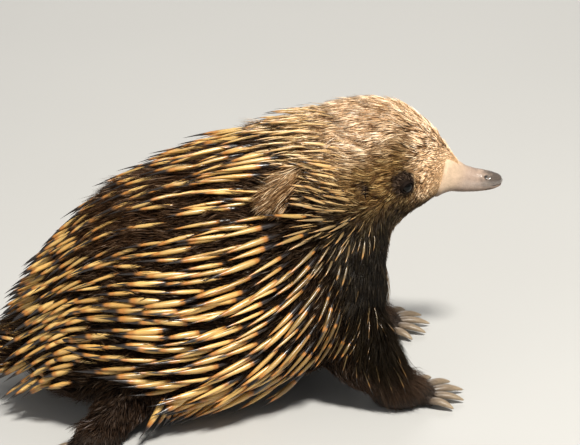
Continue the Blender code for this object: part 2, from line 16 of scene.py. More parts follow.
import bmesh
import bpy
import numpy as np
from mathutils import Matrix, Vector, noise
from mathutils.bvhtree import BVHTree
from mathutils.kdtree import KDTree
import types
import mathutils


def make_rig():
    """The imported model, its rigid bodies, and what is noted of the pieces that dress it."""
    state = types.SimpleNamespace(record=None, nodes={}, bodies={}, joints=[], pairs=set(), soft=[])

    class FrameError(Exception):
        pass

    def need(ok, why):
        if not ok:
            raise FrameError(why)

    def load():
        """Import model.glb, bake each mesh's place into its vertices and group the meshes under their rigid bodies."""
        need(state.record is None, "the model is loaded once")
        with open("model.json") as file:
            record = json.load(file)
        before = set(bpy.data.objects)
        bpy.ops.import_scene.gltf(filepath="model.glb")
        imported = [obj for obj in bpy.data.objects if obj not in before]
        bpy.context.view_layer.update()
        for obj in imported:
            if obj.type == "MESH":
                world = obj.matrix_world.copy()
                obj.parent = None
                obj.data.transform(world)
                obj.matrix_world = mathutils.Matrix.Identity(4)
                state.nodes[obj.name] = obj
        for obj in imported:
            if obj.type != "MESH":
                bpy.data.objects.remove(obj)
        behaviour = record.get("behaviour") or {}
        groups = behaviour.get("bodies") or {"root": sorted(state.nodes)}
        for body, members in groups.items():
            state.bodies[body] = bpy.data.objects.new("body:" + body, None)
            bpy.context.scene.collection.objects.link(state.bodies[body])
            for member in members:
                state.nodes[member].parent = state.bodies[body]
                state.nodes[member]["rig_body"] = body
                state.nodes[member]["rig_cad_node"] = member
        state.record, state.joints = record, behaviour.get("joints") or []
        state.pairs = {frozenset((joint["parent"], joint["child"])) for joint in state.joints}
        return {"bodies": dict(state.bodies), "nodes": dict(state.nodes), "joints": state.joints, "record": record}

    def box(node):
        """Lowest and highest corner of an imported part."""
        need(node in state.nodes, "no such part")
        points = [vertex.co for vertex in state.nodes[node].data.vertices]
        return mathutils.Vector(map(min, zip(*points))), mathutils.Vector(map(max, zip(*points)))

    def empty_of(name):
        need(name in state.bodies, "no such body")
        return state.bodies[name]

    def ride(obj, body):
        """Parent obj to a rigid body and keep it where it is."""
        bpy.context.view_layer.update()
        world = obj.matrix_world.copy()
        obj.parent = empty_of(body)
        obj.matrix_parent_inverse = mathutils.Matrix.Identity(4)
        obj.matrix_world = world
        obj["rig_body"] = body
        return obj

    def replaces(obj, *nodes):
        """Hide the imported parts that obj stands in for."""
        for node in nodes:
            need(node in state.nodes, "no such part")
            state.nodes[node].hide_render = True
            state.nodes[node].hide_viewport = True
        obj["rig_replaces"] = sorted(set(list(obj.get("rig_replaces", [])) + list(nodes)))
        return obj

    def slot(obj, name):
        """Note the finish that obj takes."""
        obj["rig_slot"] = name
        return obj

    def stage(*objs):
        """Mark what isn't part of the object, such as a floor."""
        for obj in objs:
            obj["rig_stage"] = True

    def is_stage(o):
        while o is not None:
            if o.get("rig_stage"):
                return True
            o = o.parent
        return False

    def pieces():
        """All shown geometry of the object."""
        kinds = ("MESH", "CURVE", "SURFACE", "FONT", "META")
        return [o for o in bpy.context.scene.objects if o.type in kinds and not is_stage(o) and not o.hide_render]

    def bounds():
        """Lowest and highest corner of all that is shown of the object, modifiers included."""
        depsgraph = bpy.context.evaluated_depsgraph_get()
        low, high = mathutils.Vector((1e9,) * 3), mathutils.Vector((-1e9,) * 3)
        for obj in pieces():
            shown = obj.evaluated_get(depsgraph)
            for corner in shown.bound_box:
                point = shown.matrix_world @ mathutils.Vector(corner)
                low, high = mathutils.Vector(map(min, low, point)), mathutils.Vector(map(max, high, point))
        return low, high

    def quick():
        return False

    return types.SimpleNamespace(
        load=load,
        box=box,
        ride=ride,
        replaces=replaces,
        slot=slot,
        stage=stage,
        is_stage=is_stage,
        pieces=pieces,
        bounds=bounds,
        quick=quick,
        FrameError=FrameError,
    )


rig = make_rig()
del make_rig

log = logging.getLogger("echidna")

UP = np.array((0.0, 0.0, 1.0))
LEFT = np.array((0.0, 1.0, 0.0))
FORWARD = np.array((1.0, 0.0, 0.0))

# Every draw is seeded with this and the length of its piece's name.
SEED = 11
QUICK_SHARE = 0.35
# How far strands keep above the floor, and the share of that for their middle.
FLOOR_GAP = 0.0006
LOWEST_SHARE = 0.3
# How far hair keeps from an eye's centre.
HAIR_FREE_ORBIT = 0.0043
BRIGHTEST_HAIR = 0.93
# The powers by which a darker hair turns redder and a paler one whiter, which also tints the painted highlights of
# pale hairs and the painted shade in the gaps between locks.
HUE_DRIFT = np.array((0.92, 1.14, 1.42))
# The width of a strand's patch on the OFBake map.
PATCH = 0.003
SIZE_FILE = "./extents.json"

Triple = tuple[float, float, float]
Colour = Triple
Stretch = tuple[float, float]


class Side(Enum):
    """The two sides of the body."""

    RIGHT = -1
    LEFT = 1

    @property
    def label(self) -> str:
        """The side's name in a piece's name."""
        return self.name.lower()


def unit(rows: np.ndarray) -> np.ndarray:
    """Rows scaled to length 1."""
    return rows / np.maximum(np.linalg.norm(rows, axis=-1, keepdims=True), 1e-9)


def ease(value: np.ndarray | float, low: float, high: float) -> np.ndarray:
    """0 up to low, 1 from high on, and a smooth rise between."""
    share = np.clip((np.asarray(value, float) - low) / (high - low), 0, 1)
    return share * share * (3 - 2 * share)


def fade(value: np.ndarray | float, low: float, high: float) -> np.ndarray:
    """1 up to low, 0 from high on, and a smooth fall between."""
    return 1 - ease(value, low, high)


def bell(value: np.ndarray, width: float) -> np.ndarray:
    """1 at 0, and next to nothing from two widths on."""
    return np.exp(-((value / width) ** 2))


def blend(first: np.ndarray, second: np.ndarray | Colour, share: np.ndarray) -> np.ndarray:
    """Rows between first and second by each row's own share."""
    return first + (np.asarray(second) - first) * share[:, None]


def tile(colour: Colour, count: int) -> np.ndarray:
    """The same colour in each row."""
    return np.tile(np.array(colour), (count, 1))


def cloud(points: np.ndarray, size: float, offset: float = 0.0) -> np.ndarray:
    """Smooth noise from about -1 to 1 at each point, with features of that size."""
    shift = Vector((offset, -offset, 0.7 * offset))
    return np.array([noise.noise(Vector(point) / size + shift) for point in points])


def nearest_rows(places: np.ndarray, points: np.ndarray) -> tuple[np.ndarray, np.ndarray]:
    """The closest of some places to each point.

    Args:
        places: Where to look, one place a row.
        points: What to look for, one point a row.

    Returns:
        For each point the row of its closest place, and how far away that is.
    """
    tree = KDTree(len(places))
    for row, place in enumerate(places):
        tree.insert(place, row)
    tree.balance()
    found = [tree.find(point)[1:] for point in points]
    rows, distances = zip(*found)
    return np.array(rows), np.array(distances)


def catmull_rom(table: np.ndarray, s: np.ndarray) -> np.ndarray:
    """Rows at places s along a table of rows, on a smooth curve through them all.

    Args:
        table: One row of numbers for each whole place.
        s: Places along the table.

    Returns:
        One row for each place.
    """
    last = len(table) - 1
    wide = np.vstack((2 * table[0] - table[1], table, 2 * table[-1] - table[-2]))
    s = np.clip(s, 0, last)
    i = np.minimum(s.astype(int), last - 1)
    t = (s - i)[:, None]
    before, a, b, after = wide[i], wide[i + 1], wide[i + 2], wide[i + 3]
    square = (2 * before - 5 * a + 4 * b - after) * t**2
    cube = (3 * a - before - 3 * b + after) * t**3
    return 0.5 * (2 * a + (b - before) * t + square + cube)


def tangents(outward: np.ndarray) -> tuple[np.ndarray, np.ndarray]:
    """The ways forward and upwards along a surface, from its normal."""
    along = unit(FORWARD - outward * (FORWARD @ outward))
    return along, unit(UP - outward * (UP @ outward) - along * (UP @ along))


@dataclass(frozen=True)
class Section:
    """A slice of trunk: X and Z of its belly and back, its half width, and how high up it is widest."""

    belly: Stretch
    back: Stretch
    half_width: float
    widest_at: float

    def row(self) -> tuple[float, ...]:
        """The section as one row of a table."""
        return (*self.belly, *self.back, self.half_width, self.widest_at)


TRUNK_SECTIONS = (
    Section((-0.1225, 0.036), (-0.1225, 0.036), 0.000, 0.50),
    Section((-0.1180, 0.020), (-0.1160, 0.060), 0.031, 0.40),
    Section((-0.1070, 0.013), (-0.1000, 0.096), 0.056, 0.34),
    Section((-0.0870, 0.011), (-0.0785, 0.125), 0.077, 0.30),
    Section((-0.0600, 0.010), (-0.0515, 0.147), 0.090, 0.28),
    Section((-0.0250, 0.010), (-0.0180, 0.163), 0.095, 0.28),
    Section((0.0120, 0.011), (0.0140, 0.1735), 0.094, 0.29),
    Section((0.0480, 0.013), (0.0420, 0.182), 0.087, 0.31),
    Section((0.0860, 0.017), (0.0660, 0.190), 0.077, 0.34),
    Section((0.1150, 0.031), (0.0840, 0.197), 0.065, 0.39),
    Section((0.1270, 0.057), (0.0990, 0.201), 0.052, 0.46),
    Section((0.1295, 0.084), (0.1130, 0.203), 0.042, 0.50),
    Section((0.1320, 0.104), (0.1280, 0.202), 0.0365, 0.47),
    Section((0.1420, 0.116), (0.1450, 0.195), 0.0310, 0.44),
    Section((0.1535, 0.1225), (0.1600, 0.1825), 0.0230, 0.43),
    Section((0.1635, 0.1275), (0.1725, 0.167), 0.0142, 0.44),
    Section((0.1738, 0.131), (0.1836, 0.1512), 0.0094, 0.48),
    Section((0.1840, 0.1300), (0.1920, 0.1465), 0.0080, 0.50),
    Section((0.1960, 0.1295), (0.2000, 0.1443), 0.0072, 0.50),
    Section((0.2060, 0.1303), (0.2070, 0.1420), 0.0057, 0.50),
    Section((0.2113, 0.1325), (0.2116, 0.1396), 0.0035, 0.50),
    Section((0.2135, 0.1360), (0.2135, 0.1360), 0.0000, 0.50),
)
BEAK_TIP = np.array((0.2135, 0.0, 0.1360))


@dataclass(frozen=True)
class Seam:
    """A flat slice across the trunk, given by X and Z of a low and a high point."""

    low: tuple[float, float]
    high: tuple[float, float]

    def ahead(self, points: np.ndarray) -> np.ndarray:
        """How far each point lies on the beak's side."""
        normal = unit(np.cross(LEFT, (self.high[0] - self.low[0], 0, self.high[1] - self.low[1])))
        return (points - np.array((self.low[0], 0, self.low[1]))) @ normal


NECK_SEAM = Seam((0.106, 0.030), (0.064, 0.190))
HEAD_SEAM = Seam((0.128, 0.058), (0.084, 0.200))
BEAK_SEAM = Seam((0.1738, 0.131), (0.1836, 0.1512))
# How far the fur's edge draws back, from how far out and how low.
BARE_CHEEK = 0.0085
BARE_WIDTH = (0.0035, 0.0085)
BARE_HEIGHT = (0.137, 0.146)
# How far the velvet reaches from the fur's edge.
VELVET_REACH = (0.003, 0.020)


def past_fur(points: np.ndarray) -> np.ndarray:
    """How far each point lies ahead of the fur's edge, which draws back on the sides of the face."""
    beside = np.maximum(ease(np.abs(points[:, 1]), *BARE_WIDTH), fade(points[:, 2], *BARE_HEIGHT))
    return BEAK_SEAM.ahead(points) + BARE_CHEEK * beside


def velvety(points: np.ndarray) -> np.ndarray:
    """1 beside the beak, where the hair is a pale velvet down to its roots, and 0 away from it."""
    return fade(-past_fur(points), *VELVET_REACH)


@dataclass
class Frames:
    """Points of a form with their outward normals and the ways along and round the form."""

    point: np.ndarray
    normal: np.ndarray
    forward: np.ndarray
    around: np.ndarray


class Form:
    """A smooth surface with a place s along it and an angle round it."""

    end: float
    step: float = 0.02

    def point(self, s: np.ndarray, angle: np.ndarray) -> np.ndarray:
        """Places on the surface."""
        raise NotImplementedError

    def frames(self, s: np.ndarray, angle: np.ndarray) -> Frames:
        """Places on the surface with their directions.

        Args:
            s: Places along the form.
            angle: Angles round it.

        Returns:
            The frames there.
        """
        s = np.clip(s, self.step * 2, self.end - self.step * 2)
        forward = unit(self.point(s + self.step, angle) - self.point(s - self.step, angle))
        around = unit(self.point(s, angle + self.step) - self.point(s, angle - self.step))
        return Frames(self.point(s, angle), unit(np.cross(forward, around)), forward, around)


@dataclass
class Trunk(Form):
    """The body from rump to beak. The angle is 0 on the back and grows towards the left side."""

    sections: tuple[Section, ...] = TRUNK_SECTIONS
    belly_fullness: float = 0.82
    head_stretch: Stretch = (8.5, 17.0)
    table: np.ndarray = field(init=False)
    end: float = field(init=False)

    def __post_init__(self) -> None:
        """Lays the sections out as a table."""
        self.table = np.array([section.row() for section in self.sections])
        self.end = len(self.sections) - 1.0

    def point(self, s: np.ndarray, angle: np.ndarray) -> np.ndarray:
        """Places on the trunk's surface.

        Args:
            s: Places along the trunk, in sections.
            angle: Angles round it.

        Returns:
            One point a row.
        """
        belly_x, belly_z, back_x, back_z, half_width, widest_at = catmull_rom(self.table, s).T
        none = np.zeros_like(belly_x)
        up = np.stack((back_x - belly_x, none, back_z - belly_z), 1)
        centre = np.stack((belly_x, none, belly_z), 1) + up * widest_at[:, None]
        high, wide = np.cos(angle), np.sin(angle)
        fullness = np.where(high > 0, 1.0, self.belly_fullness)
        reach = np.where(high > 0, 1 - widest_at, widest_at) * np.sign(high)
        rise = up * (reach * np.abs(high) ** fullness)[:, None]
        spread = half_width * np.sign(wide) * np.abs(wide) ** fullness
        return centre + rise + LEFT * spread[:, None]

    def side_frame(self, place: tuple[float, float], side: Side) -> tuple[np.ndarray, np.ndarray]:
        """The head's surface at an X and Z.

        Args:
            place: X and Z.
            side: The side of the head.

        Returns:
            The point and its outward normal.
        """
        s, angle = np.meshgrid(np.linspace(*self.head_stretch, 350), np.linspace(0, math.pi, 350))
        s, angle = s.ravel(), angle.ravel() * side.value
        away = self.point(s, angle)[:, ::2] - np.array(place)
        k = int(np.argmin((away**2).sum(1)))
        frames = self.frames(s[k : k + 1], angle[k : k + 1])
        return frames.point[0], frames.normal[0]


@dataclass
class Tube(Form):
    """A round form along a path, with its half width and half height at each point of it."""

    path: tuple[Triple, ...]
    radii: tuple[Stretch, ...]
    upright: np.ndarray
    side: Side = Side.LEFT
    inset: float = 0.0
    end: float = field(init=False)

    def __post_init__(self) -> None:
        """Counts the stretches of the path."""
        self.end = len(self.path) - 1.0

    def point(self, s: np.ndarray, angle: np.ndarray) -> np.ndarray:
        """Places on the tube's surface.

        Args:
            s: Places along the tube, in points of its path.
            angle: Angles round it.

        Returns:
            One point a row.
        """
        table = np.hstack((np.array(self.path) * (1, self.side.value, 1), np.array(self.radii)))
        here = catmull_rom(table, s)
        along = catmull_rom(table, s + 0.05)[:, :3] - catmull_rom(table, s - 0.05)[:, :3]
        across = unit(np.cross(unit(along), self.upright))
        high = np.cross(across, unit(along))
        wide, tall = (here[:, 3:] - self.inset).T
        return here[:, :3] + across * (wide * np.cos(angle))[:, None] + high * (tall * np.sin(angle))[:, None]


TOES = 5
MIDDLE_TOE = 2
TOE_RADIUS = 0.0044
TOE_THINNING = 0.05
TOE_LIFT = 0.0012
TOE_SET_IN = 0.35


@dataclass(frozen=True)
class Limb:
    """A leg, given for the left side: its path and radii from trunk to paw, its paw, toes and claws."""

    name: str
    path: tuple[Triple, ...]
    radii: tuple[Stretch, ...]
    paw: Triple
    paw_radii: Triple
    heading: float
    toe_spread: float
    toe_reach: float
    claw_lengths: tuple[float, ...]
    claw_width: float
    claw_drop: float

    def paw_place(self, side: Side) -> np.ndarray:
        """The middle of the paw."""
        return np.array(self.paw) * (1, side.value, 1)

    def toe(self, toe: int, side: Side) -> tuple[np.ndarray, np.ndarray, np.ndarray, float]:
        """One toe's line.

        Args:
            toe: Its number, from 0.
            side: The side of the body.

        Returns:
            Its root, its end, its direction and its radius.
        """
        turn = math.radians(self.heading + self.toe_spread * (toe - MIDDLE_TOE))
        along = np.array((math.cos(turn), math.sin(turn) * side.value, 0.0))
        stoutness = 1 - TOE_THINNING * abs(toe - MIDDLE_TOE)
        root = self.paw_place(side) * (1, 1, 0) + UP * (TOE_RADIUS * stoutness + TOE_LIFT)
        root = root + along * self.toe_reach * TOE_SET_IN
        return root, root + along * self.toe_reach, along, TOE_RADIUS * stoutness


FORELEG = Limb(
    name="foreleg",
    path=((0.072, 0.026, 0.070), (0.094, 0.044, 0.050), (0.112, 0.055, 0.030), (0.129, 0.058, 0.0105)),
    radii=((0.026, 0.028), (0.027, 0.028), (0.0230, 0.0225), (0.0195, 0.0110)),
    paw=(0.130, 0.058, 0.0095),
    paw_radii=(0.0215, 0.0200, 0.0115),
    heading=-6,
    toe_spread=19,
    toe_reach=0.0185,
    claw_lengths=(0.015, 0.020, 0.022, 0.020, 0.015),
    claw_width=0.0033,
    claw_drop=0.0030,
)
HINDLEG = Limb(
    name="hindleg",
    path=((-0.042, 0.040, 0.044), (-0.054, 0.060, 0.032), (-0.067, 0.077, 0.020), (-0.080, 0.087, 0.0105)),
    radii=((0.026, 0.024), (0.024, 0.022), (0.0195, 0.0165), (0.0155, 0.0105)),
    paw=(-0.080, 0.087, 0.0095),
    paw_radii=(0.0205, 0.0155, 0.0110),
    heading=140,
    toe_spread=15,
    toe_reach=0.0165,
    claw_lengths=(0.010, 0.016, 0.020, 0.031, 0.012),
    claw_width=0.0023,
    claw_drop=0.0032,
)
LIMBS = (FORELEG, HINDLEG)
TAIL_PATH = ((-0.106, 0, 0.050), (-0.128, 0, 0.037), (-0.143, 0, 0.026))
TAIL_RADII = ((0.020, 0.018), (0.015, 0.013), (0.008, 0.007))


@dataclass(frozen=True)
class Eyeball:
    """Where the eyes sit, and how large they are."""

    radius: float = 0.0045
    place: tuple[float, float] = (0.1395, 0.149)
    sink: float = 0.75

    def frame(self, trunk: Trunk, side: Side) -> tuple[np.ndarray, np.ndarray]:
        """The eye's centre and its outward direction."""
        point, normal = trunk.side_frame(self.place, side)
        return point - normal * self.radius * self.sink, normal


@dataclass(frozen=True)
class EarPlace:
    """Where the ear slits are, and their half width and half height."""

    place: Stretch = (0.110, 0.152)
    half_width: float = 0.0030
    half_height: float = 0.0068

    def reach(self, offset: np.ndarray, height_share: float) -> np.ndarray:
        """How far offsets from the slit's middle lie, squared, in half widths and shares of its height."""
        tall = self.half_height * height_share
        return (offset[:, 0] / self.half_width) ** 2 + (offset[:, 2] / tall) ** 2


EYE = Eyeball()
EAR = EarPlace()


@dataclass
class Model:
    """What every piece shares: the body's form, its landmarks and the move to the frame."""

    trunk: Trunk
    shift: float
    eyes: dict[Side, tuple[np.ndarray, np.ndarray]]
    ears: dict[Side, tuple[np.ndarray, np.ndarray]]

    @classmethod
    def from_frame(cls) -> Model:
        """The model set into the frame by its beak's tip.

        Returns:
            The model.
        """
        trunk = Trunk()
        _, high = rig.box("beak")
        eyes = {side: EYE.frame(trunk, side) for side in Side}
        ears = {side: trunk.side_frame(EAR.place, side) for side in Side}
        return cls(trunk, float(BEAK_TIP[0] - high.x), eyes, ears)

    def finish(self, mesh: bpy.types.Mesh, name: str, slot: str, nodes: Sequence[str]) -> bpy.types.Object:
        """Moves a mesh to the frame, makes it a piece and reports it.

        Args:
            mesh: The finished mesh, in the body's own drawing.
            name: The piece's name.
            slot: The material slot it takes its finish from.
            nodes: The solids that it stands for.

        Returns:
            The piece.
        """
        mesh.transform(Matrix.Translation((-self.shift, 0, 0)))
        mesh.name = name
        piece = bpy.data.objects.new(name, mesh)
        bpy.context.scene.collection.objects.link(piece)
        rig.ride(piece, "root")
        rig.slot(piece, slot)
        if nodes:
            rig.replaces(piece, *nodes)
        log.info("%s: %d faces", name, len(mesh.polygons))
        return piece


class Socket:
    """A shader value. Each operator adds one Math node."""

    def __init__(self, shader: Shader, output: bpy.types.NodeSocket) -> None:
        """Wraps an output of a shader's node."""
        self.shader = shader
        self.output = output

    def _math(self, operation: str, first: Socket | float, second: Socket | float) -> Socket:
        """The output of a Math node on two values."""
        return self.shader.node("ShaderNodeMath", {"operation": operation}, {0: first, 1: second})[0]

    def __add__(self, other: Socket | float) -> Socket:
        """self + other."""
        return self._math("ADD", self, other)

    def __radd__(self, other: float) -> Socket:
        """other + self."""
        return self._math("ADD", other, self)

    def __sub__(self, other: Socket | float) -> Socket:
        """self - other."""
        return self._math("SUBTRACT", self, other)

    def __rsub__(self, other: float) -> Socket:
        """other - self."""
        return self._math("SUBTRACT", other, self)

    def __mul__(self, other: Socket | float) -> Socket:
        """self * other."""
        return self._math("MULTIPLY", self, other)

    def __rmul__(self, other: float) -> Socket:
        """other * self."""
        return self._math("MULTIPLY", other, self)


class Made:
    """A made node, whose outputs are read by name or number as sockets."""

    def __init__(self, shader: Shader, node: bpy.types.Node) -> None:
        """Wraps a node."""
        self.shader = shader
        self.made = node

    def __getitem__(self, key: str | int) -> Socket:
        """One output."""
        return Socket(self.shader, self.made.outputs[key])


def socket_name(key: str) -> str:
    """The name of a Principled BSDF input from its key."""
    return " ".join(word.upper() if word == "ior" else word.title() for word in key.split("_"))


class Shader:
    """A material under construction, with its Principled BSDF."""

    def __init__(self, name: str, **fixed: float) -> None:
        """Starts a material.

        Args:
            name: The material's name.
            **fixed: Values of the Principled BSDF that are the same all over, with _ for a space.
        """
        self.material = bpy.data.materials.new(name)
        self.material.use_nodes = True
        self.tree = self.material.node_tree
        self.principled = self.tree.nodes["Principled BSDF"]
        for key, value in fixed.items():
            self.principled.inputs[socket_name(key)].default_value = value

    def node(self, kind: str, settings: dict | None = None, inputs: dict | None = None) -> Made:
        """Adds a node.

        Args:
            kind: The node's type.
            settings: Its properties, and a ramp's stops as pairs of place and colour.
            inputs: Values or sockets for its inputs, by name or number.

        Returns:
            The node.
        """
        made = self.tree.nodes.new(kind)
        for key, value in (settings or {}).items():
            if key == "stops":
                self._set_stops(made.color_ramp, value)
            else:
                setattr(made, key, value)
        for key, value in (inputs or {}).items():
            self.feed(made.inputs[key], value)
        return Made(self, made)

    @staticmethod
    def _set_stops(ramp: bpy.types.ColorRamp, stops: Sequence[tuple[float, Colour]]) -> None:
        """Gives a ramp its stops."""
        while len(ramp.elements) < len(stops):
            ramp.elements.new(1.0)
        for element, (place, colour) in zip(ramp.elements, stops):
            element.position = place
            element.color = (*colour, 1)

    def feed(self, entry: bpy.types.NodeSocket, value: Socket | float | Sequence[float]) -> None:
        """Links a socket to an input, or sets the input's value."""
        if isinstance(value, Socket):
            self.tree.links.new(value.output, entry)
        else:
            entry.default_value = value

    def output(self, **links: Socket) -> None:
        """Feeds inputs of the Principled BSDF, with _ for a space in their names."""
        for key, value in links.items():
            self.feed(self.principled.inputs[socket_name(key)], value)

    def attribute(self, name: str) -> Made:
        """A named attribute of the mesh."""
        return self.node("ShaderNodeAttribute", {"attribute_name": name})

    def cloud(self, scale: float, detail: float = 2.0, stretch: Colour = (1.0, 1.0, 1.0)) -> Socket:
        """Noise from 0 to 1 on Object coordinates, its pattern squeezed by stretch."""
        place = self.node("ShaderNodeTexCoord")["Object"]
        mapped = self.node("ShaderNodeMapping", {}, {"Vector": place, "Scale": stretch})["Vector"]
        links = {"Vector": mapped, "Scale": scale, "Detail": detail}
        return self.node("ShaderNodeTexNoise", {}, links)["Fac"]

    def step(self, value: Socket, low: float, high: float) -> Socket:
        """A smooth rise from 0 at low to 1 at high."""
        inputs = {"Value": value, "From Min": low, "From Max": high}
        return self.node("ShaderNodeMapRange", {"interpolation_type": "SMOOTHSTEP"}, inputs)["Result"]

    def dim(self, colour: Socket, gain: Socket) -> Socket:
        """A colour scaled by a value."""
        return self.node("ShaderNodeVectorMath", {"operation": "SCALE"}, {0: colour, "Scale": gain})["Vector"]

    def mix(
        self, share: Socket | float, first: Socket | Sequence[float], second: Socket | Sequence[float]
    ) -> Socket:
        """Two colours mixed by a share."""
        first, second = (value if isinstance(value, Socket) else (*value, 1) for value in (first, second))
        return self.node("ShaderNodeMix", {"data_type": "RGBA"}, {0: share, 6: first, 7: second})[2]

    def bump(self, height: Socket, distance: float, strength: float = 1.0) -> None:
        """Gives the surface a relief of that height."""
        inputs = {"Height": height, "Distance": distance, "Strength": strength}
        self.output(normal=self.node("ShaderNodeBump", {}, inputs)["Normal"])


@dataclass(frozen=True)
class FurFinish:
    """Hair: dark brown at the root, partly its own colour and partly painted shade deep in the coat, paler along its
    length, with each hair a little different.
    """

    name: str = "fur"
    roughness: float = 0.46
    root_gain: Colour = (0.11, 0.075, 0.050)
    tip_gain: float = 1.22
    gloss: float = 0.07
    pale_from: tuple[float, float] = (0.10, 0.85)
    grain: float = 0.4
    velvet: float = 0.75

    def material(self) -> bpy.types.Material:
        """The material."""
        shader = Shader(self.name, roughness=self.roughness, specular_ior_level=self.gloss)
        along = shader.attribute("along")["Fac"]
        tint = shader.attribute("tint")["Color"]
        # The dark root is in part painted shade among the hairs; beside the beak it is mixed back towards the hair's
        # own colour.
        gains = {0: tint, 1: self.root_gain}
        root = shader.node("ShaderNodeVectorMath", {"operation": "MULTIPLY"}, gains)["Vector"]
        root = shader.mix(shader.attribute("shade")["Fac"] * self.velvet, root, tint)
        tip = shader.dim(tint, self.tip_gain + (shader.cloud(1400.0) - 0.5) * self.grain)
        shader.output(base_color=shader.mix(shader.step(along, *self.pale_from), root, tip))
        return shader.material


@dataclass(frozen=True)
class SpineFinish:
    """Horny spines: a pale length between two amber bands, a dark root and a near-black point."""

    name: str = "spine_horn"
    dark: Colour = (0.014, 0.010, 0.009)
    amber: Colour = (0.40, 0.165, 0.035)
    light_from: tuple[float, float] = (0.12, 0.28)
    light_to: tuple[float, float] = (0.48, 0.76)
    wander: float = 0.20

    def material(self) -> bpy.types.Material:
        """The material."""
        shader = Shader(self.name, roughness=0.29, specular_ior_level=0.65)
        shade = shader.attribute("shade")["Fac"]
        along = shader.attribute("along")["Fac"] + (shade - 0.5) * self.wander
        light = shader.step(along, *self.light_from) * (1 - shader.step(along, *self.light_to))
        streak = shader.cloud(90.0, 3.0, (1.0, 14.0, 14.0))
        tint = shader.dim(shader.attribute("tint")["Color"], 0.72 + 0.56 * streak)
        rim = shader.step(light, 0.03, 0.42)
        banded = shader.mix(rim, self.dark, self.amber)
        core = shader.step(light, 0.50, 1.0)
        shader.output(base_color=shader.mix(core, banded, tint))
        shader.bump(streak, 0.00012, 0.6)
        return shader.material


@dataclass(frozen=True)
class SkinFinish:
    """Skin under and between the hair, with the coat's own markings, darker where its relief is low: painted shade in
    its creases.
    """

    name: str
    roughness: float = 0.7
    grain: float = 700.0
    relief: float = 0.0004
    low_gain: float = 0.6
    high_gain: float = 1.1
    gloss: float = 0.12

    def material(self) -> bpy.types.Material:
        """The material."""
        shader = Shader(self.name, roughness=self.roughness, specular_ior_level=self.gloss)
        pores = shader.cloud(self.grain, 4.0)
        # Colour and relief follow the same noise, so the low places are darker: painted shade in the pores and
        # creases.
        gain = self.low_gain + (self.high_gain - self.low_gain) * pores
        shader.output(base_color=shader.dim(shader.attribute("tint")["Color"], gain))
        shader.bump(pores, self.relief)
        return shader.material


@dataclass(frozen=True)
class BeakFinish:
    """Bare skin of the beak: mottled and matt at the base, dark and wet-looking at the tip."""

    name: str = "beak_hide"
    pore_scale: float = 1500.0
    blotch_scale: float = 240.0

    def material(self) -> bpy.types.Material:
        """The material."""
        shader = Shader(self.name, specular_ior_level=0.5, coat_roughness=0.22, coat_ior=2.0)
        wet = shader.attribute("along")["Fac"]
        pores = shader.cloud(self.pore_scale, 3.0)
        blotch = shader.cloud(self.blotch_scale, 4.0)
        wrinkle = shader.cloud(330.0, 2.0, (3.2, 0.6, 0.6))
        gain = 0.50 + 0.40 * pores + 0.60 * blotch
        shader.output(
            base_color=shader.dim(shader.attribute("tint")["Color"], gain),
            roughness=0.50 - 0.30 * wet + 0.12 * (pores - 0.5),
            coat_weight=1.0 * wet,
        )
        shader.bump(pores + 0.7 * wrinkle + blotch * 0.5, 0.00035, 0.55)
        return shader.material


@dataclass(frozen=True)
class EyeFinish:
    """A dark wet eye: a black pupil, a deep brown iris and a grey rim."""

    name: str = "eye_wet"
    pupil: Colour = (0.0015, 0.0015, 0.0015)
    iris: Colour = (0.0035, 0.0022, 0.0015)
    white: Colour = (0.006, 0.005, 0.0045)

    def material(self) -> bpy.types.Material:
        """The material."""
        shader = Shader(self.name, roughness=0.04, specular_ior_level=0.18)
        facing = shader.attribute("along")["Fac"]
        stops = (
            (0.0, self.white),
            (0.35, self.white),
            (0.50, self.iris),
            (0.86, self.iris),
            (0.90, self.pupil),
        )
        ramp = shader.node("ShaderNodeValToRGB", {"stops": stops}, {"Fac": facing})["Color"]
        shader.output(base_color=shader.dim(ramp, 0.75 + 0.5 * shader.cloud(1800.0)))
        return shader.material


@dataclass(frozen=True)
class ClawFinish:
    """Horn of the claws: dark at the base, paler and worn towards the point, streaked along."""

    name: str = "claw_keratin"
    base: Colour = (0.055, 0.038, 0.028)
    middle: Colour = (0.17, 0.125, 0.085)
    tip: Colour = (0.29, 0.22, 0.145)

    def material(self) -> bpy.types.Material:
        """The material."""
        shader = Shader(self.name, specular_ior_level=0.5)
        along = shader.attribute("along")["Fac"]
        streak = shader.cloud(260.0, 4.0, (1.0, 4.0, 4.0))
        stops = ((0.0, self.base), (0.35, self.middle), (0.9, self.tip))
        place = {"Fac": along + (streak - 0.5) * 0.3}
        ramp = shader.node("ShaderNodeValToRGB", {"stops": stops}, place)["Color"]
        shader.output(base_color=shader.dim(ramp, 0.6 + 0.8 * streak), roughness=0.30 + 0.25 * streak)
        shader.bump(streak, 0.0002, 0.6)
        return shader.material


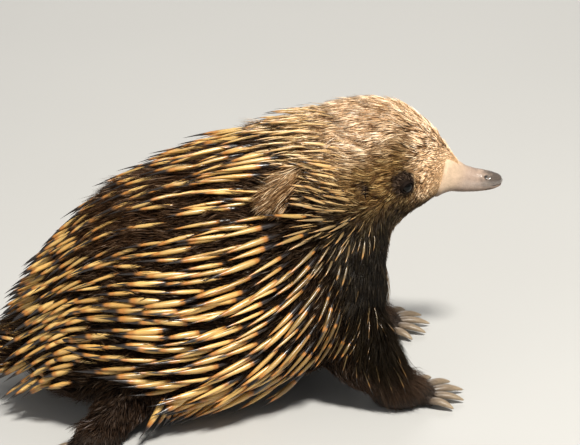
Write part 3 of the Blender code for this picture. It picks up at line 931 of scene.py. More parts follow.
@dataclass(frozen=True)
class Palette:
    """Named colours of the hair and hide, some with painted light or shade in them."""

    body: Colour = (0.036, 0.020, 0.010)
    back: Colour = (0.078, 0.039, 0.018)
    nape: Colour = (0.54, 0.320, 0.125)
    # Paler in part as painted light from above.
    crown: Colour = (0.98, 0.720, 0.470)
    face: Colour = (0.78, 0.530, 0.310)
    # Darker in part as painted shade.
    cheek: Colour = (0.22, 0.126, 0.042)
    # Painted shade under the head: darker than the fur there.
    jaw: Colour = (0.021, 0.014, 0.005)
    # Painted light: the front of the throat lit from below by light thrown up from the ground.
    throat: Colour = (0.30, 0.205, 0.110)
    tuft: Colour = (0.42, 0.250, 0.120)
    # The chest's own near-black fur, with painted shade under the head in it.
    chest: Colour = (0.012, 0.008, 0.004)
    # Painted shade in the hollows round the eyes and in the ear slits.
    hollow: Colour = (0.030, 0.017, 0.011)
    leg: Colour = (0.060, 0.036, 0.023)
    toe: Colour = (0.050, 0.038, 0.031)
    beak_base: Colour = (0.375, 0.275, 0.215)
    beak_tip: Colour = (0.046, 0.036, 0.030)
    # The underside's own brown, deepened as painted shade.
    beak_under: Colour = (0.13, 0.068, 0.033)
    # Painted shade inside the nostrils and the mouth's slit.
    opening: Colour = (0.010, 0.007, 0.006)


@dataclass
class Markings:
    """The colour of hair and skin at any place of the body."""

    model: Model
    palette: Palette = Palette()

    def tint(self, points: np.ndarray) -> np.ndarray:
        """The colour at each point.

        Args:
            points: Places in the body's own drawing.

        Returns:
            One colour a row.
        """
        x, y, z = points.T
        colours = self.palette
        tint = tile(colours.body, len(x))
        tint = blend(tint, colours.back, ease(z + 0.35 * (0.05 - x), 0.120, 0.180) * ease(-x, -0.080, 0.0))
        neck = ease(NECK_SEAM.ahead(points), -0.016, 0.016)
        # The nape's colour high on the neck, a darker cheek, and a crown and brow paler towards the top: in part the
        # fur's own colours, in part painted light from above and painted shade below.
        high = ease(z, 0.145, 0.195)
        tint = blend(tint, colours.nape, neck * high)
        head = ease(HEAD_SEAM.ahead(points), -0.020, 0.016)
        tint = blend(tint, colours.cheek, head * ease(z, 0.125, 0.150))
        lit_top = ease(z - 0.30 * (x - 0.10), 0.156, 0.188) * ease(NECK_SEAM.ahead(points), 0.000, 0.045)
        tint = blend(tint, colours.crown, lit_top)
        brow = ease(x, 0.140, 0.156) * ease(z, 0.130, 0.145)
        upper = blend(tile(colours.face, len(x)), colours.crown, ease(z, 0.150, 0.165))
        tint = blend(tint, upper, brow * 0.85)
        # Painted shade under the jaw and down the lower neck, less towards the face.
        under = ease(-z, -0.153, -0.131) * neck * (1 - 0.75 * ease(x, 0.132, 0.150))
        tint = blend(tint, colours.jaw, under * 0.94)
        # The chest darkened to its own dark fur and to painted shade under the head.
        chest = neck * ease(-z, -0.134, -0.112)
        tint = blend(tint, colours.chest, chest)
        # A pale strip down the front of the throat: painted light thrown up from below.
        strip = ease(-np.abs(y), -0.037, -0.016) * ease(x, 0.108, 0.119) * ease(-z, -0.132, -0.120)
        tint = blend(tint, colours.throat, strip * ease(z, 0.065, 0.085) * 0.85)
        tint = blend(tint, colours.tuft, ease(-TUFT.near(points), -1.3, -0.9))
        limb = ease(-z, -0.045, -0.020)
        tint = blend(tint, colours.leg, limb)
        tint = blend(tint, colours.toe, ease(-z, -0.018, -0.008))
        return self._darken_hollows(points, tint)

    def _darken_hollows(self, points: np.ndarray, tint: np.ndarray) -> np.ndarray:
        """Painted shade in the hair round the eyes and over the ear slits."""
        for side in Side:
            centre, _ = self.model.eyes[side]
            away = (points - centre - np.array((-0.001, 0, 0.0025))) / np.array((0.0115, 0.012, 0.0110))
            tint = blend(tint, self.palette.hollow, 0.96 * ease(-np.linalg.norm(away, axis=1), -1.0, -0.50))
            centre, _ = self.model.ears[side]
            away = (points - centre - np.array((0.0035, 0, 0.0022))) / np.array((0.0098, 0.040, 0.0064))
            tint = blend(tint, self.palette.hollow, 0.90 * ease(-np.linalg.norm(away, axis=1), -1.0, -0.45))
        return tint


def wrapped(
    point_at: Callable[[np.ndarray, np.ndarray], np.ndarray],
    stretch: tuple[float, float],
    rings: int,
    sides: int,
) -> bmesh.types.BMesh:
    """A grid wrapped round a form, with its open ends closed.

    Args:
        point_at: Places for arrays of s and of angles.
        stretch: The first and last s.
        rings: Rows of faces along the form.
        sides: Faces round it.

    Returns:
        The bmesh.
    """
    bm = bmesh.new()
    bmesh.ops.create_grid(bm, x_segments=rings, y_segments=sides, size=0.5)
    flat = np.array([vert.co for vert in bm.verts]) + 0.5
    s = stretch[0] + flat[:, 0] * (stretch[1] - stretch[0])
    for vert, place in zip(bm.verts, point_at(s, flat[:, 1] * 2 * math.pi)):
        vert.co = place
    bmesh.ops.remove_doubles(bm, verts=bm.verts, dist=1e-5)
    bmesh.ops.holes_fill(bm, edges=[edge for edge in bm.edges if edge.is_boundary])
    bmesh.ops.recalc_face_normals(bm, faces=bm.faces)
    return bm


def append(bm: bmesh.types.BMesh, other: bmesh.types.BMesh) -> None:
    """Adds another bmesh, which it frees.

    Args:
        bm: The bmesh that grows.
        other: The bmesh that is added.
    """
    spare = bpy.data.meshes.new("spare")
    other.to_mesh(spare)
    other.free()
    bm.from_mesh(spare)
    bpy.data.meshes.remove(spare)


def to_mesh(bm: bmesh.types.BMesh, name: str, material: bpy.types.Material) -> bpy.types.Mesh:
    """A smooth mesh from a bmesh, which it frees.

    Args:
        bm: The bmesh.
        name: The mesh's name.
        material: Its material.

    Returns:
        The mesh.
    """
    mesh = bpy.data.meshes.new(name)
    bm.to_mesh(mesh)
    bm.free()
    mesh.materials.append(material)
    mesh.shade_smooth()
    return mesh


def coordinates(mesh: bpy.types.Mesh) -> np.ndarray:
    """The vertices of a mesh.

    Args:
        mesh: The mesh.

    Returns:
        One point a row.
    """
    flat = np.empty(len(mesh.vertices) * 3)
    mesh.vertices.foreach_get("co", flat)
    return flat.reshape(-1, 3)


def set_tint(mesh: bpy.types.Mesh, tint: np.ndarray) -> None:
    """Stores a colour for each vertex."""
    rows = np.hstack((tint, np.ones((len(tint), 1))))
    mesh.attributes.new("tint", "FLOAT_COLOR", "POINT").data.foreach_set("color", rows.ravel())


def set_value(mesh: bpy.types.Mesh, name: str, values: np.ndarray) -> None:
    """Stores a number for each vertex."""
    mesh.attributes.new(name, "FLOAT", "POINT").data.foreach_set("value", values.ravel())


@dataclass
class Skin:
    """The hide of trunk, legs and tail in one piece, under the coat."""

    model: Model
    markings: Markings
    finish: SkinFinish = SkinFinish("hide")
    voxel: float = 0.0016
    smoothing: int = 3
    trunk_grid: tuple[int, int] = (150, 72)
    leg_grid: tuple[int, int] = (24, 24)
    tail_grid: tuple[int, int] = (20, 24)
    paw_grid: tuple[int, int] = (24, 14)
    toe_grid: tuple[int, int] = (16, 10)
    toe_taper: float = 0.80
    toe_pads: tuple[Stretch, ...] = ((0.45, 1.12), (0.93, 1.0))
    pad_taper: float = 0.2
    stretch: Stretch = (0.0, 16.7)
    depth_places: tuple[float, ...] = (0.0, 8.0, 11.0, 13.0, 14.6, 15.9, 16.3, 16.7)
    depths: tuple[float, ...] = (0.0045, 0.0045, 0.0038, 0.0028, 0.0014, 0.0010, 0.0026, 0.0030)
    leg_depth: float = 0.0018
    paw_depth: float = 0.0009
    orbit_rise: float = 0.0021
    orbit_size: float = 0.0063
    socket_depth: float = 0.0028
    socket_size: float = 0.0029
    eye_reach: float = 0.010
    ear_depth: float = 0.0050
    ear_reach: float = 0.012
    shadow: float = 0.50
    velvet_light: float = 0.35

    def trunk_point(self, s: np.ndarray, angle: np.ndarray) -> np.ndarray:
        """The hide of the trunk, which lies under the solids by the coat's depth there.

        Args:
            s: Places along the trunk.
            angle: Angles round it.

        Returns:
            One point a row.
        """
        frames = self.model.trunk.frames(s, angle)
        depth = np.interp(s, self.depth_places, self.depths)
        return frames.point - frames.normal * depth[:, None]

    def _leg(self, bm: bmesh.types.BMesh, limb: Limb, side: Side) -> None:
        """Adds a leg with its paw and toes.

        Args:
            bm: The hide's bmesh.
            limb: The leg.
            side: Its side.
        """
        tube = Tube(limb.path, limb.radii, FORWARD, side, self.leg_depth)
        append(bm, wrapped(tube.point, (0, tube.end), *self.leg_grid))
        turn = Matrix.Rotation(math.radians(limb.heading) * side.value, 4, "Z")
        size = Matrix.Diagonal((*(radius - self.paw_depth for radius in limb.paw_radii), 1))
        place = Matrix.Translation(limb.paw_place(side)) @ turn @ size
        segments, rings = self.paw_grid
        bmesh.ops.create_uvsphere(bm, u_segments=segments, v_segments=rings, radius=1, matrix=place)
        for toe in range(TOES):
            self._toe(bm, limb, side, toe)

    def _toe(self, bm: bmesh.types.BMesh, limb: Limb, side: Side, toe: int) -> None:
        """Adds a toe: a tapered rod with a pad at its joint and one at its end.

        Args:
            bm: The hide's bmesh.
            limb: The leg.
            side: Its side.
            toe: The toe's number, from 0.
        """
        root, end, along, radius = limb.toe(toe, side)
        sides, rings = self.toe_grid
        turn = Vector(along).to_track_quat("Z", "Y").to_matrix().to_4x4()
        place = Matrix.Translation(Vector((root + end) / 2)) @ turn
        size = {"radius1": radius, "radius2": radius * self.toe_taper, "depth": limb.toe_reach}
        bmesh.ops.create_cone(bm, cap_ends=True, segments=sides, matrix=place, **size)
        for share, plump in self.toe_pads:
            place = Matrix.Translation(Vector(root + (end - root) * share))
            size = radius * plump * (1 - self.pad_taper * share)
            bmesh.ops.create_uvsphere(bm, u_segments=sides, v_segments=rings, radius=size, matrix=place)

    def build(self) -> bpy.types.Object:
        """Makes the hide as one smooth surface.

        Returns:
            The piece.
        """
        bm = wrapped(self.trunk_point, self.stretch, *self.trunk_grid)
        for limb in LIMBS:
            for side in Side:
                self._leg(bm, limb, side)
        tail = Tube(TAIL_PATH, TAIL_RADII, LEFT, Side.LEFT, self.leg_depth)
        append(bm, wrapped(tail.point, (0, tail.end), *self.tail_grid))
        mesh = self._remeshed(bm)
        points = coordinates(mesh)
        points[:, 2] = np.maximum(points[:, 2], 0.0)
        points = self._hollowed(points)
        mesh.vertices.foreach_set("co", points.ravel())
        mesh.materials.append(self.finish.material())
        mesh.shade_smooth()
        light = self.shadow + self.velvet_light * velvety(points)
        set_tint(mesh, self.markings.tint(points) * light[:, None])
        legs = [f"{limb.name}_{side.label}" for limb in LIMBS for side in Side]
        return self.model.finish(mesh, "hide", "spiny_coat", ("torso", "neck", "head", "tail", *legs))

    def _remeshed(self, bm: bmesh.types.BMesh) -> bpy.types.Mesh:
        """The closed shells of a bmesh joined to one smooth skin.

        Args:
            bm: The bmesh, which it frees.

        Returns:
            The skin's mesh.
        """
        rough = bpy.data.meshes.new("rough")
        bm.to_mesh(rough)
        bm.free()
        holder = bpy.data.objects.new("rough", rough)
        bpy.context.scene.collection.objects.link(holder)
        remesh = holder.modifiers.new("one_skin", "REMESH")
        remesh.mode = "VOXEL"
        remesh.voxel_size = self.voxel
        mesh = bpy.data.meshes.new_from_object(holder.evaluated_get(bpy.context.evaluated_depsgraph_get()))
        bpy.data.objects.remove(holder)
        bpy.data.meshes.remove(rough)
        bm = bmesh.new()
        bm.from_mesh(mesh)
        axes = {"use_axis_x": True, "use_axis_y": True, "use_axis_z": True}
        for _ in range(self.smoothing):
            bmesh.ops.smooth_vert(bm, verts=bm.verts, factor=0.5, **axes)
        bm.to_mesh(mesh)
        bm.free()
        return mesh

    def _hollowed(self, points: np.ndarray) -> np.ndarray:
        """The hide raised round the eyes and pressed into the sockets and the ear slits.

        Args:
            points: The hide's points.

        Returns:
            The points in their new places.
        """
        for side in Side:
            centre, outward = self.model.eyes[side]
            away = np.linalg.norm(np.cross(points - centre, outward), axis=1)
            rise = self.orbit_rise * np.exp(-((away / self.orbit_size) ** 4))
            rise -= self.socket_depth * np.exp(-((away / self.socket_size) ** 4))
            near = np.abs((points - centre) @ outward) < self.eye_reach
            points = points + outward * (rise * near)[:, None]
            centre, outward = self.model.ears[side]
            offset = points - centre
            near = np.exp(-EAR.reach(offset, 1.0)) * (np.abs(offset @ outward) < self.ear_reach)
            points = points - outward * (self.ear_depth * near)[:, None]
        return points


@dataclass
class Roots:
    """Places on the hide where hair or spines grow."""

    point: np.ndarray
    normal: np.ndarray

    def keep(self, mask: np.ndarray) -> Roots:
        """The roots that a mask picks."""
        return Roots(self.point[mask], self.normal[mask])

    def __len__(self) -> int:
        """How many there are."""
        return len(self.point)


# The lower part of a leg's line, and how far its hair reaches round it.
LEG_LINE = np.linspace(1.2, 3, 8)
LEG_REACH = (0.022, 0.036)


def near_leg(points: np.ndarray) -> np.ndarray:
    """How close each point lies to a leg's line.

    Args:
        points: Places in the body's own drawing.

    Returns:
        1 on a leg and 0 away from it, for each point.
    """
    near = np.zeros(len(points))
    for limb in LIMBS:
        for side in Side:
            line = catmull_rom(np.array(limb.path), LEG_LINE) * (1, side.value, 1)
            away = np.linalg.norm(points[:, None] - line[None], axis=2).min(1)
            near = np.maximum(near, fade(away, *LEG_REACH))
    return near


@dataclass(frozen=True)
class Lie:
    """Which way the coat lies at a place, and how it parts round the eyes. Pitches are in degrees."""

    model: Model
    pitch_places: tuple[float, ...] = (-0.020, 0.020, 0.055, 0.085, 0.120)
    pitches: tuple[float, ...] = (-5.0, 12.0, 30.0, 54.0, 72.0)
    nape_pitch: float = -2.0
    nape_heights: Stretch = (0.118, 0.155)
    nape_starts: Stretch = (-0.020, 0.030)
    swirl_pitch: float = -24.0
    swirl_place: Stretch = (0.078, 0.157)
    swirl_size: float = 0.022
    swirl_width: Stretch = (0.015, 0.035)
    jaw_pitch: float = 24.0
    jaw_starts: Stretch = (0.118, 0.135)
    jaw_tops: Stretch = (0.125, 0.150)
    flare: float = 0.10
    flare_width: Stretch = (0.0, 0.02)
    leg_tops: Stretch = (0.030, 0.050)
    leg_forward: float = 0.45
    leg_outward: float = 0.15
    parting: float = 1.7
    parting_size: float = 0.0085

    def _pitch(self, points: np.ndarray) -> np.ndarray:
        """How steeply the coat slopes down towards the rump.

        Args:
            points: Places on the hide.

        Returns:
            One angle for each point, in radians.
        """
        x, y, z = points.T
        low = np.interp(x, self.pitch_places, self.pitches)
        pitch = low + (self.nape_pitch - low) * ease(z, *self.nape_heights) * ease(x, *self.nape_starts)
        away = np.hypot(x - self.swirl_place[0], z - self.swirl_place[1])
        swirl = bell(away, self.swirl_size) * ease(np.abs(y), *self.swirl_width)
        pitch = pitch + (self.swirl_pitch - pitch) * swirl
        jaw = ease(x, *self.jaw_starts) * fade(z, *self.jaw_tops)
        return np.radians(pitch + (self.jaw_pitch - pitch) * jaw)

    def way(self, points: np.ndarray, normals: np.ndarray) -> np.ndarray:
        """The direction in which the coat lies.

        Args:
            points: Places on the hide.
            normals: Its outward normals there.

        Returns:
            One direction a row, along the surface.
        """
        x, y, z = points.T
        pitch = self._pitch(points)
        flare = self.flare * np.sign(y) * ease(np.abs(y), *self.flare_width)
        way = np.stack((-np.cos(pitch), flare, -np.sin(pitch)), 1)
        forward = self.leg_forward * np.where(x > 0, 1.0, -1.0)
        down = np.stack((forward, self.leg_outward * np.sign(y), -np.ones_like(x)), 1)
        way = blend(way, down, fade(z, *self.leg_tops) * near_leg(points))
        for side in Side:
            away = points - self.model.eyes[side][0]
            near = bell(np.linalg.norm(away, axis=1), self.parting_size)
            way = way + unit(away) * (self.parting * near)[:, None]
        return unit(way - normals * (way * normals).sum(1)[:, None])


class Ground:
    """The hide as the ground that hair grows on."""

    def __init__(self, hide: bpy.types.Object, model: Model) -> None:
        """Reads the hide's faces, in the body's own drawing.

        Args:
            hide: The hide.
            model: The body.
        """
        mesh = hide.data
        self.lie = Lie(model)
        self.unwrap = Unwrap(model)
        points = coordinates(mesh) + FORWARD * model.shift
        normals = np.empty(len(mesh.vertices) * 3)
        mesh.vertices.foreach_get("normal", normals)
        corners = np.array([face.vertices[:] for face in mesh.polygons if len(face.vertices) == 4])
        self.corners, self.normals = points[corners], normals.reshape(-1, 3)[corners]
        across = self.corners[:, 2] - self.corners[:, 0], self.corners[:, 3] - self.corners[:, 1]
        self.areas = np.linalg.norm(np.cross(*across), axis=1) / 2
        self.tree = BVHTree.FromPolygons([Vector(p) for p in points], corners.tolist())

    def roots(self, density: Callable[[np.ndarray], np.ndarray], draws: np.random.Generator) -> Roots:
        """Scatters roots over the hide.

        Args:
            density: Roots for each square metre at given places.
            draws: The random draws.

        Returns:
            The roots.
        """
        centres = self.corners.mean(axis=1)
        expected = density(centres) * self.areas
        counts = (expected + draws.random(len(expected))).astype(int)
        chosen = np.repeat(np.arange(len(counts)), counts)
        a, b = draws.random((2, len(chosen), 1))
        shares = np.stack(((1 - a) * (1 - b), a * (1 - b), a * b, (1 - a) * b), 1)
        point = (self.corners[chosen] * shares).sum(1)
        return Roots(point, unit((self.normals[chosen] * shares).sum(1)))

    def nearest(self, points: np.ndarray) -> tuple[np.ndarray, np.ndarray]:
        """The closest places of the hide, with its normals there."""
        spots, normals = zip(*(self.tree.find_nearest(point)[:2] for point in points))
        return np.array(spots), np.array(normals)

    def paths(
        self, roots: Roots, lengths: np.ndarray, steps: int, sway: np.ndarray
    ) -> tuple[np.ndarray, np.ndarray]:
        """Follows the coat over the hide from each root.

        Args:
            roots: Where it starts.
            lengths: How far each path goes.
            steps: In how many steps.
            sway: A sideways turn for each path, in radians.

        Returns:
            Points and normals, each of shape (roots, steps + 1, 3).
        """
        points, normals = [roots.point], [roots.normal]
        for _ in range(steps):
            way = self.lie.way(points[-1], normals[-1])
            across = np.cross(normals[-1], way)
            way = way * np.cos(sway)[:, None] + across * np.sin(sway)[:, None]
            ahead, normal = self.nearest(points[-1] + way * (lengths / steps)[:, None])
            points.append(ahead)
            normals.append(unit(normal + normals[-1]))
        return np.stack(points, 1), np.stack(normals, 1)


class Unwrap:
    """A flat map of the hide's own shape: the trunk unrolled, with each leg and the tail in a strip."""

    start: float = 0.3
    trunk_end: float = 17.0
    trunk_rows: int = 120
    strip_rows: int = 16
    columns: int = 72
    trunk_along: Stretch = (0.01, 0.73)
    strip_along: Stretch = (0.76, 0.98)
    strip_margin: float = 0.05
    smallest: float = 0.05

    def __init__(self, model: Model) -> None:
        """Lays samples of every form on the map.

        Args:
            model: The body.
        """
        strips = [Tube(limb.path, limb.radii, FORWARD, side) for limb in LIMBS for side in Side]
        strips.append(Tube(TAIL_PATH, TAIL_RADII, LEFT))
        laid = [self._laid(model.trunk, self.trunk_end, self.trunk_rows, self.trunk_along, (0, 1))]
        for k, form in enumerate(strips):
            around = ((k + self.strip_margin) / len(strips), (k + 1 - self.strip_margin) / len(strips))
            laid.append(self._laid(form, form.end, self.strip_rows, self.strip_along, around))
        places, spots = zip(*laid)
        self.places, self.map = np.vstack(places), np.vstack(spots)

    def _laid(
        self, form: Form, end: float, rows: int, along: Stretch, around: Stretch
    ) -> tuple[np.ndarray, np.ndarray]:
        """Samples of a form with their spots on the map.

        Args:
            form: The form.
            end: How far along it they reach.
            rows: How many rows they fill.
            along: From where to where the form lies on the map.
            around: The same across it.

        Returns:
            Points of the form, and their spots.
        """
        places = np.linspace(self.start, end, rows), np.linspace(-math.pi, math.pi, self.columns)
        s, angle = (grid.ravel() for grid in np.meshgrid(*places))
        shares = np.stack((s / end, angle / (2 * math.pi) + 0.5), 1)
        low, high = np.array((along, around)).T
        return form.point(s, angle), low + shares * (high - low)

    def spots(self, points: np.ndarray) -> np.ndarray:
        """Where points of the hide lie on the map, stretched to fill it.

        Args:
            points: The points.

        Returns:
            One spot a row.
        """
        spots = self.map[nearest_rows(self.places, points)[0]]
        low, high = spots.min(0), spots.max(0)
        return PATCH + (spots - low) / np.maximum(high - low, self.smallest) * (1 - 2 * PATCH)


@dataclass(frozen=True)
class Strand:
    """The shape of one hair lock or spine: its sides, the places of its rings and how wide it is there."""

    sides: int
    stations: tuple[float, ...]
    widths: tuple[float, ...]
    flatness: float = 1.0

    def template(self) -> tuple[np.ndarray, np.ndarray, list[list[int]]]:
        """One straight strand, from a cone cut at its stations.

        Returns:
            Each vertex's direction round the strand, its ring's number, and the faces.
        """
        bm = bmesh.new()
        size = {"segments": self.sides, "radius1": 1, "radius2": 0, "depth": 1}
        bmesh.ops.create_cone(bm, cap_ends=True, matrix=Matrix.Translation((0, 0, 0.5)), **size)
        for station in self.stations[1:-1]:
            everything = bm.verts[:] + bm.edges[:] + bm.faces[:]
            bmesh.ops.bisect_plane(bm, geom=everything, plane_co=(0, 0, station), plane_no=(0, 0, 1))
        bm.verts.index_update()
        points = np.array([vert.co for vert in bm.verts])
        faces = [[vert.index for vert in face.verts] for face in bm.faces]
        bm.free()
        rings = np.abs(points[:, 2:3] - np.array(self.stations)[None]).argmin(1)
        return np.where(rings[:, None] < len(self.stations) - 1, unit(points[:, :2]), 0.0), rings, faces


@dataclass
class Growth:
    """Many strands of one shape, ready to be joined into a mesh."""

    axes: np.ndarray
    normals: np.ndarray
    widths: np.ndarray
    tint: np.ndarray
    shade: np.ndarray
    roots: np.ndarray

    def keep(self, mask: np.ndarray) -> Growth:
        """The strands that a mask picks."""
        return Growth(*(rows[mask] for rows in vars(self).values()))

    def on(self, side: Side) -> Growth:
        """The strands that grow on one side of the body."""
        return self.keep(self.roots[:, 1] * side.value > 0)

    def _points(self, strand: Strand, spokes: np.ndarray, rings: np.ndarray) -> np.ndarray:
        """Each strand's vertices, wrapped round its middle line and kept off the floor.

        Args:
            strand: The strands' shape.
            spokes: Each vertex's direction round a strand.
            rings: Each vertex's ring.

        Returns:
            Shape (strands, vertices, 3).
        """
        ways = unit(np.gradient(self.axes, axis=1))
        across = unit(np.cross(ways, self.normals[:, None]))
        high = np.cross(across, ways)
        size = self.widths[:, None, None] * np.array(strand.widths)[rings][None, :, None]
        points = self.axes[:, rings] + across[:, rings] * spokes[None, :, :1] * size
        points = points + high[:, rings] * spokes[None, :, 1:] * size * strand.flatness
        lowest = FLOOR_GAP * (LOWEST_SHARE + (1 - LOWEST_SHARE) * np.abs(spokes[None, :, 0]))
        points[..., 2] = np.maximum(points[..., 2], lowest)
        return points

    def mesh(self, strand: Strand, unwrap: Unwrap, name: str, material: bpy.types.Material) -> bpy.types.Mesh:
        """Joins the strands.

        Args:
            strand: Their shape.
            unwrap: The map of the hide, for the OFBake patches.
            name: The mesh's name.
            material: Its material.

        Returns:
            The mesh.
        """
        spokes, rings, faces = strand.template()
        count, each = len(self.axes), len(rings)
        loops = np.concatenate(faces)
        starts = np.cumsum([0] + [len(face) for face in faces])[:-1]
        mesh = bpy.data.meshes.new(name)
        mesh.vertices.add(count * each)
        mesh.vertices.foreach_set("co", self._points(strand, spokes, rings).ravel())
        mesh.loops.add(count * len(loops))
        offsets = np.arange(count)[:, None]
        mesh.loops.foreach_set("vertex_index", (loops[None] + offsets * each).ravel())
        mesh.polygons.add(count * len(faces))
        mesh.polygons.foreach_set("loop_start", (starts[None] + offsets * len(loops)).ravel())
        mesh.update(calc_edges=True)
        mesh.materials.append(material)
        mesh.shade_smooth()
        along = np.array(strand.stations)[rings]
        set_tint(mesh, np.repeat(self.tint, each, axis=0))
        set_value(mesh, "along", np.tile(along, count))
        set_value(mesh, "shade", np.repeat(self.shade, each))
        turn = np.arctan2(spokes[:, 1], spokes[:, 0]) / (2 * math.pi)
        patch = np.stack((turn, along - 0.5), 1)[loops] * PATCH
        uv = unwrap.spots(self.roots)[:, None] + patch[None]
        mesh.uv_layers.new(name="OFBake").data.foreach_set("uv", uv.ravel())
        return mesh


HAIR = Strand(3, (0.0, 0.30, 0.65, 1.0), (1.0, 1.0, 0.62, 0.0), 0.5)
SHORT_HAIR = Strand(3, (0.0, 0.5, 1.0), (1.0, 0.85, 0.0), 0.5)
LONG_SPINE = Strand(
    sides=8,
    stations=(0.0, 0.12, 0.26, 0.40, 0.55, 0.70, 0.84, 1.0),
    widths=(0.36, 0.60, 0.90, 1.0, 0.90, 0.60, 0.26, 0.0),
)
THIN_SPINE = Strand(5, (0.0, 0.25, 0.50, 0.75, 1.0), (0.7, 0.95, 1.0, 0.6, 0.0))


@dataclass(frozen=True)
class Fur:
    """One kind of hair: where it grows, how close, how long, how thick and how far it stands up.

    Its locks are clumps that lean together and share a tone, stretched along the coat, and darker towards
    their edges as painted shade in the gaps. Some hairs are paler than their lock, in part as painted
    highlights, and some darker.
    """

    name: str
    slot: str
    where: Callable[[np.ndarray], np.ndarray]
    density: float
    lengths: Stretch
    long_towards: Callable[[np.ndarray], np.ndarray]
    width: float
    lift: float
    strand: Strand = HAIR
    bend: float = 0.8
    sway: float = 0.16
    turn: float = 0.0
    # Pale hairs stand in part for painted highlights.
    pale_share: float = 0.15
    pale_gain: float = 1.9
    dark_share: float = 0.15
    dark_gain: float = 0.45
    lock_size: float = 0.0032
    lock_pull: float = 0.55
    lock_tones: Stretch = (0.70, 1.30)
    lock_stretch: Triple = (0.40, 1.0, 1.0)
    # How much darker hairs get towards a lock's edge: painted shade in the gaps between locks.
    gap_gain: float = 0.50
    root_depth: float = 0.0006


